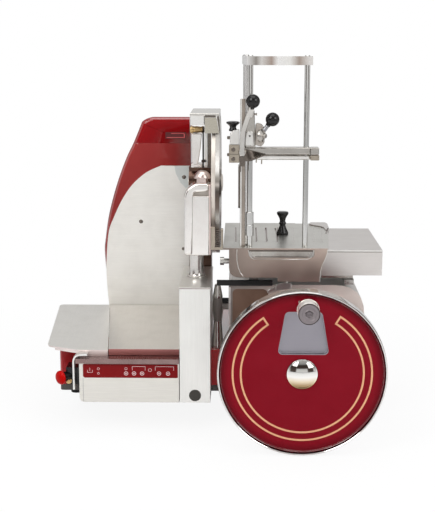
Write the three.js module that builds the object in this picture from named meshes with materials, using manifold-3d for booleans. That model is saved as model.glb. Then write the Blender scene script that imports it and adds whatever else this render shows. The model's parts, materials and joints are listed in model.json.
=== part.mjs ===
// A flywheel meat slicer. A hand wheel with a folding crank drives an upright round blade,
// and a carriage slides the meat past it. Millimetres, +Z up.
// X = 0 is the blade's face on the meat side, Y = 0 is its axle, Z = 0 is the stand under the feet.
// The person who turns the wheel stands at -Y, the meat is at +X, and slices fall at -X.

import * as THREE from 'three';
import { mergeVertices } from 'three/addons/utils/BufferGeometryUtils.js';
import Module from 'manifold-3d';

const wasm = await Module();
wasm.setup();

// Air between pieces that touch, and how far a cut runs past the face that it opens
const GAP = 0.3;
const OVERRUN = 2;

// Sides on a round piece
const ROUND = { small: 12, medium: 20, large: 48 };
// Corners of one gear tooth, as shares of its pitch and of the tooth's depth below the rim
const TOOTH_SHARES = [[0, 1], [0.28, 0], [0.55, 0], [0.83, 1]];

// Base: feet, floor plate and red housing, with its reach from the blade's axle each way
const FOOT = { radius: 14, height: 13.4, inset: 34 };
const PLATE = { thickness: 14 };
const BASE = { left: 368, right: 330, front: 175, back: 225, height: 85, wall: 5, corner: 10 };

// Front column of sheet steel, which stands partly in front of the base
const COLUMN = {
  width: 69, bladeGap: 15, standoff: 80, depth: 228, rise: 166, wall: 3, floor: 12, lip: 1, lipHeight: 4,
};
const PEDESTAL = { base: 22, neck: 16, shoulder: 19, flange: 4, flare: 12, height: 49, setback: 117 };
const POST = {
  width: 61, depth: 48, height: 166, corner: 18, recess: 3, border: 16, edge: 3, headroom: 28,
};
const POST_CAP = { nut: 12, nutHeight: 11, dome: 19, domeHeight: 14, brim: 4 };

// Blade, its shaft and the arm that carries it
const BLADE = { radius: 160, thickness: 3, edge: 0.5, bevel: 10, hub: 38, hubStep: 5, hubReach: 10 };
const AXLE = { rise: 367, radius: 10, nut: 22, nutStep: 2.5, nutLength: 4 };
const ARM = {
  width: 54, bladeGap: 18, lean: 30, head: 34, foot: 38, wall: 6, flange: 48, flangeHeight: 8, pad: 18, padRise: 4,
};
const BEARING = { radius: 20, width: 10 };
const BLADE_SPROCKET = { radius: 18, width: 6, teeth: 12, tooth: 2 };

// Guards round the blade
const RING = { clearance: 3, thickness: 6, leftReach: 17.7, rightReach: 2.2, coverDegrees: 120 };
const GUARD_PLATE = { radius: 150, thickness: 2, hole: 30, notchWidth: 80, notchRise: 88 };
const TOP_COVER = {
  left: 68, right: 4.5, front: 100, back: 70, wall: 2, roof: 5.7, shallow: 37, deep: 58, step: 34, sidePlay: 1,
};

// Sharpener above the arm
const SHARPENER = {
  left: 66, width: 26, front: 26, back: 10, height: 78, taper: 5, lugWidth: 10, lugRise: 21, spindleFront: 8,
};
const SPINDLE = { radius: 8.5, left: 69, stone: 17, stoneWidth: 5, stoneGap: 3.6, rise: 127, thin: 5 };
const LEVER_ROD = {
  radius: 2.5, left: 35, front: 25, length: 96, linkRise: 20, linkReach: 17, linkHeight: 6,
  guideRise: 52, guideHeight: 10, guideHalf: 5.5,
};

// Crank wheel
const WHEEL = {
  radius: 180, depth: 40, x: 183, shaftRise: 13, standoff: 190, rim: 10, crown: 2, disc: 6, dish: 8, hub: 30,
};
const SHAFT = { radius: 11, tail: 205 };
const HUB_CAP = { radius: 33, bulge: 13, brim: 3 };
// The cap's rounding, as shares of its radius and of its bulge
const CAP_SHARES = [[0, 1], [0.35, 0.93], [0.65, 0.75], [0.88, 0.45]];
const POCKET = {
  bottom: 35, top: 131, bottomHalf: 54, topHalf: 36, corner: 10, depth: 11, wall: 2.5, flange: 1.5,
  flangeTop: 161, flangeHalf: 17.5, shift: 3,
};
const HINGE = {
  rise: 149, shift: 8, front: 8, knuckle: 8, halfWidth: 11.7, pin: 4, ear: 5, earReach: 8, grip: 24, plate: 2,
  plateRadius: 23.5,
};
const GRIP = { radius: 22.5, length: 36, spindle: 7, waist: 20.5, groove: 4 };
const TUBE = { radius: 24, flange: 32, flangeDepth: 8 };
const REAR_BEARING = { halfWidth: 24, depth: 20, above: 24, y: 188 };

// Gears: wheel shaft to cross shaft, and chain up to the blade
const MAIN_GEAR = { radius: 40, width: 16, teeth: 28, tooth: 3.5 };
const CROSS = { radius: 9, left: 62, right: 224, gear: 20, gearWidth: 16, gearTeeth: 14, sprocket: 27, sprocketTeeth: 18 };
const BLOCK = { width: 8, half: 16, above: 16 };
const CHAIN = { width: 8, thickness: 3.4, play: 0.5 };
const BLADE_MOTOR = { headroom: 8, length: 150, right: 100, y: 120, nose: 12, noseLength: 20 };

// Housing under the carriage, its rails and drive
const HOUSING = { left: 25, right: 336, height: 155, wall: 8, shoulder: 70 };
// Turned post beside the housing, on the bar that holds it to the housing's wall
const STAY = {
  reach: 25.5, front: 150, foot: 13, footHeight: 3, waist: 9, waistRise: 58, barRise: 98, bar: 8, head: 11,
  headRise: 122, tip: 6, height: 150,
};
const RAIL = { width: 22, height: 11.7, leftX: 82, rightX: 300, inset: 3 };
const PINION = { radius: 40, width: 10, x: 156, front: 68, teeth: 28, tooth: 4, shaft: 6, lug: 8, lugGap: 12, lugDrop: 14 };
const GEAR_MOTOR = { radius: 17, length: 90 };

// Carriage and meat table
const CARRIAGE = {
  left: 60, right: 370, front: 203, back: 79, lift: 16.7, height: 58, wall: 4, shoeWidth: 24, shoeFront: 130,
  shoeBack: 70, lipLeft: 233, lipRight: 305, lipDrop: 6, rackWidth: 12, rackFront: 195, rackBack: 70, rackHeight: 12,
};
const TABLE = {
  left: 13, rightFront: 248, rightBack: 272, front: 205, back: 128, thickness: 4, rise: 0.5, rearCorner: 28,
  apronLeft: 26, apronThickness: 4, apronDrop: 63.5, tabLeft: 135.5, tabRight: 229.5, tabDrop: 72.5, apronCorner: 24,
  slotLeft: 70, slotRight: 217, slotDepth: 17, slotCorner: 8, ribY: 84, ribHeight: 20, ribThickness: 4,
  notchLeft: 190, notchRight: 225, notchDepth: 6, frontStep: 4,
};
const GROOVE = { first: 88, pitch: 24, count: 3, width: 2.5, front: 120, back: 60 };
const FEED = {
  screw: 6, front: 150, drop: 37, dial: 9.3, dialWidth: 9, dialLeft: 5, nutLeft: 74, nutWidth: 20, nutHalf: 13, neck: 5,
  travel: 150, play: 4,
};

// Product press on the meat table
const ROD = { radius: 6, front: 185, leftX: 72, rightX: 196.5, rearX: 62.4, rearFront: 95, length: 424.2 };
const COLLAR = { radius: 9, bottom: 24, height: 54 };
const TOP_BAR = { drop: 2, height: 19, half: 8.5, rightReach: 11.5 };
const PRESS = {
  left: 52, right: 225, rise: 195.5, height: 28, split: 14, front: 200, back: 172, bar: 9, leftBlock: 40, rightBlock: 38,
  towerLeft: 60, towerRight: 85, towerHeight: 84, towerTopHalf: 8, towerHalf: 12,
  toothLeft: 20.5, toothDrop: 13, toothHeight: 36, toothNeck: 49, toothStep: 6, toothFront: 202, toothBack: 176,
};
const PRESS_PLATE = { left: 46, thickness: 6, height: 98.7, front: 170, back: 60, arm: 12, tooth: 8, teeth: 9 };
const FENCE = { left: 56, thickness: 3, height: 74, front: 172, back: 75, foot: 12 };
const RELEASE = { x: 55, ballX: 77.7, ballRise: 111.8, ball: 15.3, stem: 4, front: 216, pin: 5, boss: 9 };
const CLAMP = { x: 96, rise: 30, hub: 10.5, hubWidth: 18, ballX: 121, ballRise: 32.4, ball: 15.3, stem: 5, pin: 5 };
const CLAMP_KNOB = { x: 34, cap: 15, neck: 6, height: 22, capHeight: 9, base: 9 };
const TABLE_KNOB = { x: 152, front: 32, top: 14, waist: 6.5, ring: 8.5, foot: 14, height: 55 };
// Where the knob's foot, waist, ring and top begin and end, as shares of its height
const KNOB_SHARES = { foot: 0.1, waist: [0.35, 0.42], ring: [0.47, 0.53], neck: [0.58, 0.66], top: [0.86, 0.95] };

// Slice side: trays, deflector and the cover of the drive
const TRAY = {
  front: 235, back: 76, frontRise: 18, backRise: 44, thickness: 3, lip: 15, right: 86, leftFront: 246, leftBack: 278,
  outerLeft: 405, outerFront: 388, noseLeft: 318, noseReach: 6, shoulder: 21, seam: 1, corner: 12,
  sideLip: 8, sideLipStart: 370,
};
const SUPPORT = { left: 345, right: 130, front: 150, back: 60, wall: 6 };
const DEFLECTOR = { thickness: 3, right: 74 };
const COVER = { depth: 158, wall: 4, height: 517.5, lid: 64.5, right: 74, bevel: 8, rounding: 20, fall: 12 };
// The deflector's and the cover's outlines, as shares of the cover's reach from the blade and of its height
const REACH = 291;
const DEFLECTOR_SHARES = [
  [0.931, 0], [0.962, 0.08], [0.981, 0.22], [0.976, 0.333], [0.954, 0.45], [0.909, 0.518], [0.841, 0.598],
  [0.751, 0.673], [0.629, 0.734], [0.5, 0.768],
];
const COVER_SHARES = [
  [0.93, 0], [0.962, 0.087], [0.989, 0.254], [1, 0.353], [0.99, 0.408], [0.963, 0.508], [0.921, 0.604],
  [0.864, 0.706], [0.794, 0.807], [0.732, 0.878], [0.66, 0.976],
];

// Control box, its panel and the stop button
const CONTROL = { left: 311, wall: 2.5, corner: 12, headGap: 1 };
const PANEL = { leftMargin: 9, rightMargin: 2.7, drop: 10, height: 32, thickness: 1.2, corner: 4 };
const HOOD = { beyond: 7, thickness: 3, lip: 11, overhang: 7, lipThickness: 3 };
const BRACKET = { beyond: 7, floor: 42, thickness: 4, width: 18, radius: 16, reach: 34 };
const STOP = {
  width: 31.7, setback: 17, depth: 42, floor: 48, height: 40, rise: 19, beyond: 1, turn: 45, collar: 11, root: 12,
  collarLength: 7, stem: 6, cap: 16, capHeight: 11, capTop: 11.2, shoulder: 9.4, brim: 3.7, travel: 4,
};

// Heights and places that follow from the sizes above
const plateBottom = FOOT.height + GAP;
const plateTop = plateBottom + PLATE.thickness;
const baseBottom = plateTop + GAP;
const deck = baseBottom + BASE.height;
const onDeck = deck + GAP;
const axleZ = deck + AXLE.rise;
const bladeLeft = -BLADE.thickness;
const wheelZ = deck + WHEEL.shaftRise;
const wheelFront = -BASE.front - WHEEL.standoff - WHEEL.depth;
const wheelBack = wheelFront + WHEEL.depth;
const discFront = wheelFront + WHEEL.dish;
const crossY = ARM.lean;
const crossZ = wheelZ - MAIN_GEAR.radius - CROSS.gear;
const armRight = -ARM.bladeGap;
const armLeft = armRight - ARM.width;
const armMiddle = (armLeft + armRight) / 2;
const columnRight = -COLUMN.bladeGap;
const columnLeft = columnRight - COLUMN.width;
const columnMiddle = (columnLeft + columnRight) / 2;
const columnFront = -BASE.front - COLUMN.standoff;
const columnBack = columnFront + COLUMN.depth;
const columnTop = deck + COLUMN.rise;
const postY = columnFront + PEDESTAL.setback;
const postBottom = columnTop + PEDESTAL.height + GAP;
const postTop = postBottom + POST.height;
const housingTop = deck + HOUSING.height;
const railTop = housingTop + RAIL.height + GAP;
const onRail = railTop + GAP;
const pinionY = -PINION.front;
const pinionZ = onRail + GAP - PINION.radius;
const carriageBottom = onRail + CARRIAGE.lift;
const carriageTop = carriageBottom + CARRIAGE.height;
const feedY = -FEED.front;
const feedZ = carriageTop - FEED.drop;
const tableBottom = carriageTop + TABLE.rise;
const tableTop = tableBottom + TABLE.thickness;
const onTable = tableTop + GAP;
const hingeZ = wheelZ + HINGE.rise;
const hingeY = wheelFront - HINGE.front;
const rodY = -ROD.front;
const rodTop = onTable + ROD.length;
const barTop = rodTop - TOP_BAR.drop;
const barBottom = barTop - TOP_BAR.height;
const pressBottom = tableTop + PRESS.rise;
const pressTop = pressBottom + PRESS.height;
const towerTop = pressTop + PRESS.towerHeight;
const trayFrontZ = deck + TRAY.frontRise;
const traySlope = Math.atan2(TRAY.backRise - TRAY.frontRise, TRAY.front + TRAY.back);
const coverTop = deck + COVER.height;
const coverJoint = coverTop - COVER.lid;
const motorRadius = (BASE.height - BASE.wall - BLADE_MOTOR.headroom) / 2;
const deflectorY = TRAY.back + COLUMN.lip + GAP;
const coverFront = deflectorY + DEFLECTOR.thickness + GAP;

// Paints
const paint = (colour, roughness, metalness) => new THREE.MeshStandardMaterial({ color: colour, roughness, metalness });
const PAINT = {
  red: paint(0x8c1020, 0.25, 0.0), steel: paint(0xd5d3cf, 0.22, 0.95), brushed: paint(0xc9c8c4, 0.4, 0.9),
  chrome: paint(0xe2e2e2, 0.08, 1.0), cast: paint(0xbdb8b0, 0.3, 0.9), black: paint(0x141414, 0.35, 0.0),
  dark: paint(0x45433f, 0.6, 0.4), brass: paint(0xb08d57, 0.3, 1.0), stop: paint(0xd81f16, 0.35, 0.0),
  gear: paint(0x77777a, 0.45, 0.9), stone: paint(0x8d8478, 0.9, 0.0), bronze: paint(0x9c7446, 0.4, 0.9),
};

// A closed three.js geometry as a solid: corners shared, empty triangles dropped, faces outwards
function solid(geometry) {
  const bare = geometry.index ? geometry.toNonIndexed() : geometry.clone();
  bare.deleteAttribute('normal');
  bare.deleteAttribute('uv');
  const merged = mergeVertices(bare, 1e-4);
  const places = merged.attributes.position.array;
  const source = merged.index.array;
  const corners = [];
  let volume = 0;
  for (let i = 0; i < source.length; i += 3) {
    const [a, b, c] = [source[i], source[i + 1], source[i + 2]];
    if (a === b || b === c || a === c) continue;
    corners.push(a, b, c);
    const [p, q, r] = [a, b, c].map((v) => new THREE.Vector3().fromArray(places, 3 * v));
    volume += p.dot(q.cross(r));
  }
  if (volume < 0) {
    for (let i = 0; i < corners.length; i += 3) [corners[i], corners[i + 1]] = [corners[i + 1], corners[i]];
  }
  const mesh = { numProp: 3, vertProperties: new Float32Array(places), triVerts: new Uint32Array(corners) };
  return new wasm.Manifold(new wasm.Mesh(mesh));
}

// A solid back as a three.js geometry
function geometryOf(shape) {
  const mesh = shape.getMesh();
  const geometry = new THREE.BufferGeometry();
  geometry.setAttribute('position', new THREE.BufferAttribute(new Float32Array(mesh.vertProperties), 3));
  geometry.setIndex(new THREE.BufferAttribute(new Uint32Array(mesh.triVerts), 1));
  return geometry;
}

// A box between two values on each axis
function box([x0, x1], [y0, y1], [z0, z1]) {
  const geometry = new THREE.BoxGeometry(x1 - x0, y1 - y0, z1 - z0);
  return solid(geometry.translate((x0 + x1) / 2, (y0 + y1) / 2, (z0 + z1) / 2));
}

// Turns what was drawn along +Y so that it lies along an axis
function along(geometry, axis) {
  if (axis === 'x') return geometry.rotateZ(-Math.PI / 2);
  if (axis === 'z') return geometry.rotateX(Math.PI / 2);
  return geometry;
}

// A round bar along an axis, from one value to another, through a centre point
function bar(axis, radius, from, to, centre, sides = ROUND.medium, endRadius = radius) {
  const geometry = along(new THREE.CylinderGeometry(endRadius, radius, to - from, sides), axis);
  const middle = new THREE.Vector3(...centre);
  middle[axis] = (from + to) / 2;
  return solid(geometry.translate(...middle.toArray()));
}

// A turned piece: [radius, distance along the axis] points, spun about an axis through a centre point
function turned(axis, points, centre, sides = ROUND.medium) {
  const profile = points.map(([radius, distance]) => new THREE.Vector2(radius, distance));
  if (profile[0].x > 0) profile.push(profile[0].clone());
  const geometry = along(new THREE.LatheGeometry(profile, sides), axis);
  return solid(geometry.translate(...centre));
}

// Where an outline's own two directions and its depth point, for each axis that it is extruded along
const PLANES = {
  x: [new THREE.Vector3(0, 1, 0), new THREE.Vector3(0, 0, 1), new THREE.Vector3(1, 0, 0)],
  y: [new THREE.Vector3(1, 0, 0), new THREE.Vector3(0, 0, 1), new THREE.Vector3(0, -1, 0)],
  z: [new THREE.Vector3(1, 0, 0), new THREE.Vector3(0, 1, 0), new THREE.Vector3(0, 0, 1)],
};

// An outline extruded along an axis from one value to another, with an optional bevel inside those ends
function slab(axis, shape, from, to, { bevel = 0, curve = 6 } = {}) {
  const geometry = new THREE.ExtrudeGeometry(shape, {
    depth: to - from - 2 * bevel, curveSegments: curve, bevelEnabled: bevel > 0, bevelThickness: bevel,
    bevelSize: bevel, bevelOffset: -bevel, bevelSegments: 2,
  });
  geometry.translate(0, 0, bevel);
  geometry.applyMatrix4(new THREE.Matrix4().makeBasis(...PLANES[axis]));
  const start = new THREE.Vector3();
  start[axis] = axis === 'y' ? to : from;
  return solid(geometry.translate(...start.toArray()));
}

// A straight-sided outline through points
function outline(points) {
  return new THREE.Shape(points.map(([a, b]) => new THREE.Vector2(a, b)));
}

// An outline through points whose corners are rounded, each by its own radius or by none
function rounded(corners) {
  const shape = new THREE.Shape();
  corners.forEach(([x, y, radius = 0], i) => {
    const here = new THREE.Vector2(x, y);
    const [before, after] = [corners.at(i - 1), corners[(i + 1) % corners.length]];
    const back = new THREE.Vector2(before[0], before[1]).sub(here);
    const ahead = new THREE.Vector2(after[0], after[1]).sub(here);
    const cut = Math.min(radius, back.length() / 2, ahead.length() / 2);
    const enter = here.clone().add(back.normalize().multiplyScalar(cut));
    const leave = here.clone().add(ahead.normalize().multiplyScalar(cut));
    if (i === 0) shape.moveTo(enter.x, enter.y);
    else shape.lineTo(enter.x, enter.y);
    if (cut) shape.quadraticCurveTo(here.x, here.y, leave.x, leave.y);
  });
  shape.closePath();
  return shape;
}

// A rectangle with rounded corners
function roundedBox([x0, x1], [y0, y1], radius) {
  return rounded([[x0, y0, radius], [x1, y0, radius], [x1, y1, radius], [x0, y1, radius]]);
}

// A toothed wheel's outline
function toothed(radius, teeth, depth, y = 0, z = 0) {
  const points = [];
  for (let i = 0; i < teeth; i += 1) {
    for (const [share, deep] of TOOTH_SHARES) {
      const r = radius - deep * depth;
      const angle = (2 * Math.PI * (i + share)) / teeth;
      points.push([y + r * Math.cos(angle), z + r * Math.sin(angle)]);
    }
  }
  return outline(points);
}

// The outline of a belt or an arm round two circles, one above the other
function aroundTwo(low, lowRadius, high, highRadius, steps = ROUND.small) {
  const points = [];
  const span = Math.hypot(high[0] - low[0], high[1] - low[1]);
  const heading = Math.atan2(high[1] - low[1], high[0] - low[0]);
  const flare = Math.asin((lowRadius - highRadius) / span);
  const round = (centre, radius, from, to) => {
    for (let i = 0; i <= steps; i += 1) {
      const angle = from + ((to - from) * i) / steps;
      points.push([centre[0] + radius * Math.cos(angle), centre[1] + radius * Math.sin(angle)]);
    }
  };
  const half = Math.PI / 2;
  round(high, highRadius, heading - half + flare, heading + half - flare);
  round(low, lowRadius, heading + half - flare, heading + 3 * half + flare);
  return outline(points);
}

const model = new THREE.Group();

// Puts a named piece in the model, or in a group of it
function place(name, shape, material, group = model) {
  const mesh = new THREE.Mesh(geometryOf(shape), material);
  mesh.name = name;
  group.add(mesh);
  return mesh;
}

// Base plate with the two bearing blocks of the cross shaft, feet and red housing
function makeBase() {
  const [x, y] = [[-BASE.left, BASE.right], [-BASE.front, BASE.back]];
  let plate = slab('z', roundedBox(x, y, BASE.corner), plateBottom, plateTop);
  for (const left of [-CROSS.left, CROSS.right - BLOCK.width]) {
    const block = box(
      [left, left + BLOCK.width], [crossY - BLOCK.half, crossY + BLOCK.half],
      [plateTop - OVERRUN, crossZ + BLOCK.above],
    );
    const bore = bar('x', CROSS.radius + GAP, left - OVERRUN, left + BLOCK.width + OVERRUN, [0, crossY, crossZ]);
    plate = plate.add(block.subtract(bore));
  }
  // The chain's lower turn has its own well, which a low base sinks into the plate
  const wellHalf = CHAIN.width / 2 + OVERRUN;
  const well = bar(
    'x', CROSS.sprocket + CHAIN.play + CHAIN.thickness + OVERRUN, armMiddle - wellHalf, armMiddle + wellHalf,
    [0, crossY, crossZ],
  );
  place('base_plate', plate.subtract(well), PAINT.dark);

  const feet = [[x[0] + FOOT.inset, y[0] + FOOT.inset], [x[1] - FOOT.inset, y[0] + FOOT.inset],
    [x[0] + FOOT.inset, y[1] - FOOT.inset], [x[1] - FOOT.inset, y[1] - FOOT.inset]];
  feet.forEach(([fx, fy], i) => {
    place(`foot_${i + 1}`, bar('z', FOOT.radius, 0, FOOT.height, [fx, fy, 0], ROUND.small), PAINT.black);
  });

  const inner = BASE.wall;
  const cavity = slab(
    'z', roundedBox([x[0] + inner, x[1] - inner], [y[0] + inner, y[1] - inner], BASE.corner - inner),
    baseBottom - OVERRUN, deck - inner,
  );
  const chainHole = box(
    [armLeft + ARM.wall, armRight - ARM.wall], [crossY - ARM.foot + OVERRUN, crossY + ARM.foot - OVERRUN],
    [deck - inner - OVERRUN, deck + OVERRUN],
  );
  const reach = MAIN_GEAR.radius + OVERRUN;
  const gearHole = box(
    [WHEEL.x - reach, WHEEL.x + reach],
    [crossY - MAIN_GEAR.width / 2 - OVERRUN, crossY + MAIN_GEAR.width / 2 + OVERRUN],
    [deck - inner - OVERRUN, deck + OVERRUN],
  );
  const body = slab('z', roundedBox(x, y, BASE.corner), baseBottom, deck)
    .subtract(cavity).subtract(chainHole).subtract(gearHole);
  place('base_body', body.add(traySupport()), PAINT.red);
}

// Underside of the sloping trays at a distance along Y
function trayUnder(y) {
  return trayFrontZ + Math.tan(traySlope) * (y + TRAY.front) - TRAY.thickness / Math.cos(traySlope) - GAP;
}

// The two upright ribs on the base that carry the trays
function traySupport() {
  const profile = outline([
    [-SUPPORT.front, deck - OVERRUN], [SUPPORT.back, deck - OVERRUN],
    [SUPPORT.back, trayUnder(SUPPORT.back)], [-SUPPORT.front, trayUnder(-SUPPORT.front)],
  ]);
  const left = slab('x', profile, -SUPPORT.left, -SUPPORT.left + SUPPORT.wall);
  const right = slab('x', profile, -SUPPORT.right - SUPPORT.wall, -SUPPORT.right);
  const back = box([-SUPPORT.left, -SUPPORT.right], [-SUPPORT.front, -SUPPORT.front + SUPPORT.wall],
    [deck - OVERRUN, trayUnder(-SUPPORT.front)]);
  return left.add(right).add(back);
}

// Front column, the pedestal on it and the post that holds the blade's front guard
function makeColumn() {
  const wall = COLUMN.wall;
  const [left, right] = [columnLeft, columnRight];
  const front = box([left, right], [columnFront, -BASE.front - GAP], [COLUMN.floor, columnTop]);
  const rear = box([left, right], [columnFront, columnBack], [onDeck, columnTop]);
  const lip = box(
    [left - COLUMN.lip, right + COLUMN.lip], [columnFront - COLUMN.lip, columnBack + COLUMN.lip],
    [columnTop - COLUMN.lipHeight, columnTop],
  );
  const frontHollow = box(
    [left + wall, right - wall], [columnFront + wall, -BASE.front - GAP - wall],
    [COLUMN.floor - OVERRUN, columnTop - wall],
  );
  const rearHollow = box(
    [left + wall, right - wall], [columnFront + wall, columnBack - wall], [onDeck - OVERRUN, columnTop - wall],
  );
  place('column', front.add(rear).add(lip).subtract(frontHollow).subtract(rearHollow), PAINT.steel);

  const foot = columnTop + GAP;
  const tall = PEDESTAL.height - GAP;
  const pedestal = turned('z', [
    [0, 0], [PEDESTAL.base, 0], [PEDESTAL.base, PEDESTAL.flange], [PEDESTAL.shoulder, PEDESTAL.flange + OVERRUN],
    [PEDESTAL.neck, PEDESTAL.flange + PEDESTAL.flare], [PEDESTAL.neck, tall], [0, tall],
  ], [columnMiddle, postY, foot]);
  place('pedestal', pedestal, PAINT.chrome);

  const postRight = columnRight - COLUMN.lip;
  const postLeft = postRight - POST.width;
  const profile = rounded([
    [postLeft, postBottom, POST.edge], [postRight, postBottom, POST.edge], [postRight, postTop, POST.edge],
    [postLeft, postTop, POST.corner],
  ]);
  const [postFront, postBack] = [postY - POST.depth / 2, postY + POST.depth / 2];
  const recess = box(
    [postLeft + POST.border, postRight - POST.edge], [postFront - OVERRUN, postFront + POST.recess],
    [postBottom + POST.edge, postTop - POST.headroom],
  );
  const capZ = POST_CAP.nutHeight;
  const cap = turned('z', [
    [0, -OVERRUN], [POST_CAP.nut, -OVERRUN], [POST_CAP.nut, capZ], [POST_CAP.dome, capZ],
    [POST_CAP.dome, capZ + POST_CAP.brim], [POST_CAP.nut, capZ + POST_CAP.domeHeight - POST_CAP.brim / 2],
    [0, capZ + POST_CAP.domeHeight],
  ], [postRight - POST.width / 2 + POST_CAP.brim, postY, postTop], ROUND.small);
  const post = slab('y', profile, postFront, postBack).subtract(recess).add(cap);
  place('guard_post', post, PAINT.cast);
}

// The leaning arm with the blade's bearings, the chain inside it and the blade on its shaft
function makeBlade() {
  const [low, high] = [[crossY, crossZ], [0, axleZ]];
  const wall = ARM.wall;
  const above = box([armLeft - OVERRUN, armRight + OVERRUN], [-BASE.front, BASE.back], [onDeck, axleZ * 2]);
  const hull = slab('x', aroundTwo(low, ARM.foot, high, ARM.head), armLeft, armRight).intersect(above);
  const hollow = slab('x', aroundTwo(low, ARM.foot - wall, high, ARM.head - wall), armLeft + wall, armRight - wall);
  const flange = box(
    [armLeft, armRight], [crossY - ARM.flange, crossY + ARM.flange], [onDeck, onDeck + ARM.flangeHeight],
  );
  const pad = box([armLeft, armRight], [-ARM.pad, ARM.pad], [axleZ, axleZ + ARM.head + ARM.padRise]);
  const bore = bar('x', BEARING.radius, armLeft - OVERRUN, armRight + OVERRUN, [0, 0, axleZ]);
  place('knife_arm', hull.add(flange).add(pad).subtract(hollow).subtract(bore), PAINT.cast);

  for (const [side, from] of [['left', armLeft], ['right', armRight - BEARING.width]]) {
    const [inner, outer] = [AXLE.radius + GAP, BEARING.radius - GAP];
    const ring = turned('x', [[inner, 0], [outer, 0], [outer, BEARING.width], [inner, BEARING.width]], [from, 0, axleZ]);
    place(`blade_bearing_${side}`, ring, PAINT.gear);
  }

  const play = CHAIN.play;
  const inside = aroundTwo(low, CROSS.sprocket + play, high, BLADE_SPROCKET.radius + play);
  const outside = aroundTwo(
    low, CROSS.sprocket + play + CHAIN.thickness, high, BLADE_SPROCKET.radius + play + CHAIN.thickness,
  );
  const half = CHAIN.width / 2;
  const chain = slab('x', outside, armMiddle - half, armMiddle + half)
    .subtract(slab('x', inside, armMiddle - half - OVERRUN, armMiddle + half + OVERRUN));
  place('drive_chain', chain, PAINT.gear);

  const sprocketHalf = BLADE_SPROCKET.width / 2;
  const wheel = toothed(BLADE_SPROCKET.radius, BLADE_SPROCKET.teeth, BLADE_SPROCKET.tooth, 0, axleZ);
  const nut = BLADE.hubStep + GAP;
  const shaft = turned('x', [
    [0, armLeft - OVERRUN], [AXLE.radius, armLeft - OVERRUN], [AXLE.radius, nut], [AXLE.nut, nut],
    [AXLE.nut - OVERRUN, nut + AXLE.nutStep], [AXLE.radius, nut + AXLE.nutLength], [0, nut + AXLE.nutLength],
  ], [0, 0, axleZ]);
  place('blade_shaft', shaft.add(slab('x', wheel, armMiddle - sprocketHalf, armMiddle + sprocketHalf)), PAINT.steel);

  const disc = turned('x', [
    [AXLE.radius + GAP, -BLADE.hubReach], [BLADE.hub, -BLADE.hubReach], [BLADE.hub + BLADE.hubStep, bladeLeft],
    [BLADE.radius - BLADE.bevel, bladeLeft], [BLADE.radius, -BLADE.edge], [BLADE.radius, 0],
    [BLADE.hub, 0], [BLADE.hub - BLADE.hubStep, BLADE.hubStep], [AXLE.radius + GAP, BLADE.hubStep],
  ], [0, 0, axleZ], ROUND.large);
  place('blade', disc, PAINT.chrome);
}

// Ring behind the blade's edge, plate beside the blade and cover on top
function makeGuards() {
  const inner = BLADE.radius + RING.clearance;
  const outer = inner + RING.thickness;
  const end = THREE.MathUtils.degToRad(RING.coverDegrees);
  const sector = new THREE.Shape();
  sector.absarc(0, axleZ, outer, -end, end, false);
  sector.absarc(0, axleZ, inner, end, -end, true);
  place('guard_ring', slab('x', sector, -RING.leftReach, RING.rightReach, { curve: ROUND.medium }), PAINT.chrome);

  const plateRight = columnRight + COLUMN.lip + GAP;
  const plateLeft = plateRight - GUARD_PLATE.thickness;
  const disc = turned('x', [
    [GUARD_PLATE.hole, plateLeft], [GUARD_PLATE.radius, plateLeft], [GUARD_PLATE.radius, plateRight],
    [GUARD_PLATE.hole, plateRight],
  ], [0, 0, axleZ], ROUND.large);
  const half = GUARD_PLATE.notchWidth / 2;
  const notch = box(
    [plateLeft - OVERRUN, plateRight + OVERRUN], [-half, half],
    [axleZ + GUARD_PLATE.notchRise, axleZ + GUARD_PLATE.radius + OVERRUN],
  );
  place('guard_plate', disc.subtract(notch), PAINT.steel);

  const roof = axleZ + outer + GAP;
  const top = roof + TOP_COVER.roof;
  const [left, right] = [-TOP_COVER.left, TOP_COVER.right];
  const y = [-TOP_COVER.front, TOP_COVER.back];
  const wall = TOP_COVER.wall;
  const shallow = box([left, right], y, [top - TOP_COVER.shallow, top]);
  const deep = box([-TOP_COVER.step, right], y, [top - TOP_COVER.deep, top]);
  const hollow = box([left + wall, right - wall], [y[0] + wall, y[1] - wall], [top - TOP_COVER.deep - OVERRUN, roof]);
  const ringWay = box(
    [-RING.leftReach - TOP_COVER.sidePlay, right - wall], [y[0] - OVERRUN, y[1] + OVERRUN],
    [top - TOP_COVER.deep - OVERRUN, top - TOP_COVER.shallow + wall],
  );
  const backWay = box(
    [-RING.leftReach - TOP_COVER.sidePlay, right - wall], [0, y[1] + OVERRUN],
    [top - TOP_COVER.deep - OVERRUN, roof - OVERRUN],
  );
  place('top_cover', shallow.add(deep).subtract(hollow).subtract(ringWay).subtract(backWay), PAINT.chrome);
}

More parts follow.
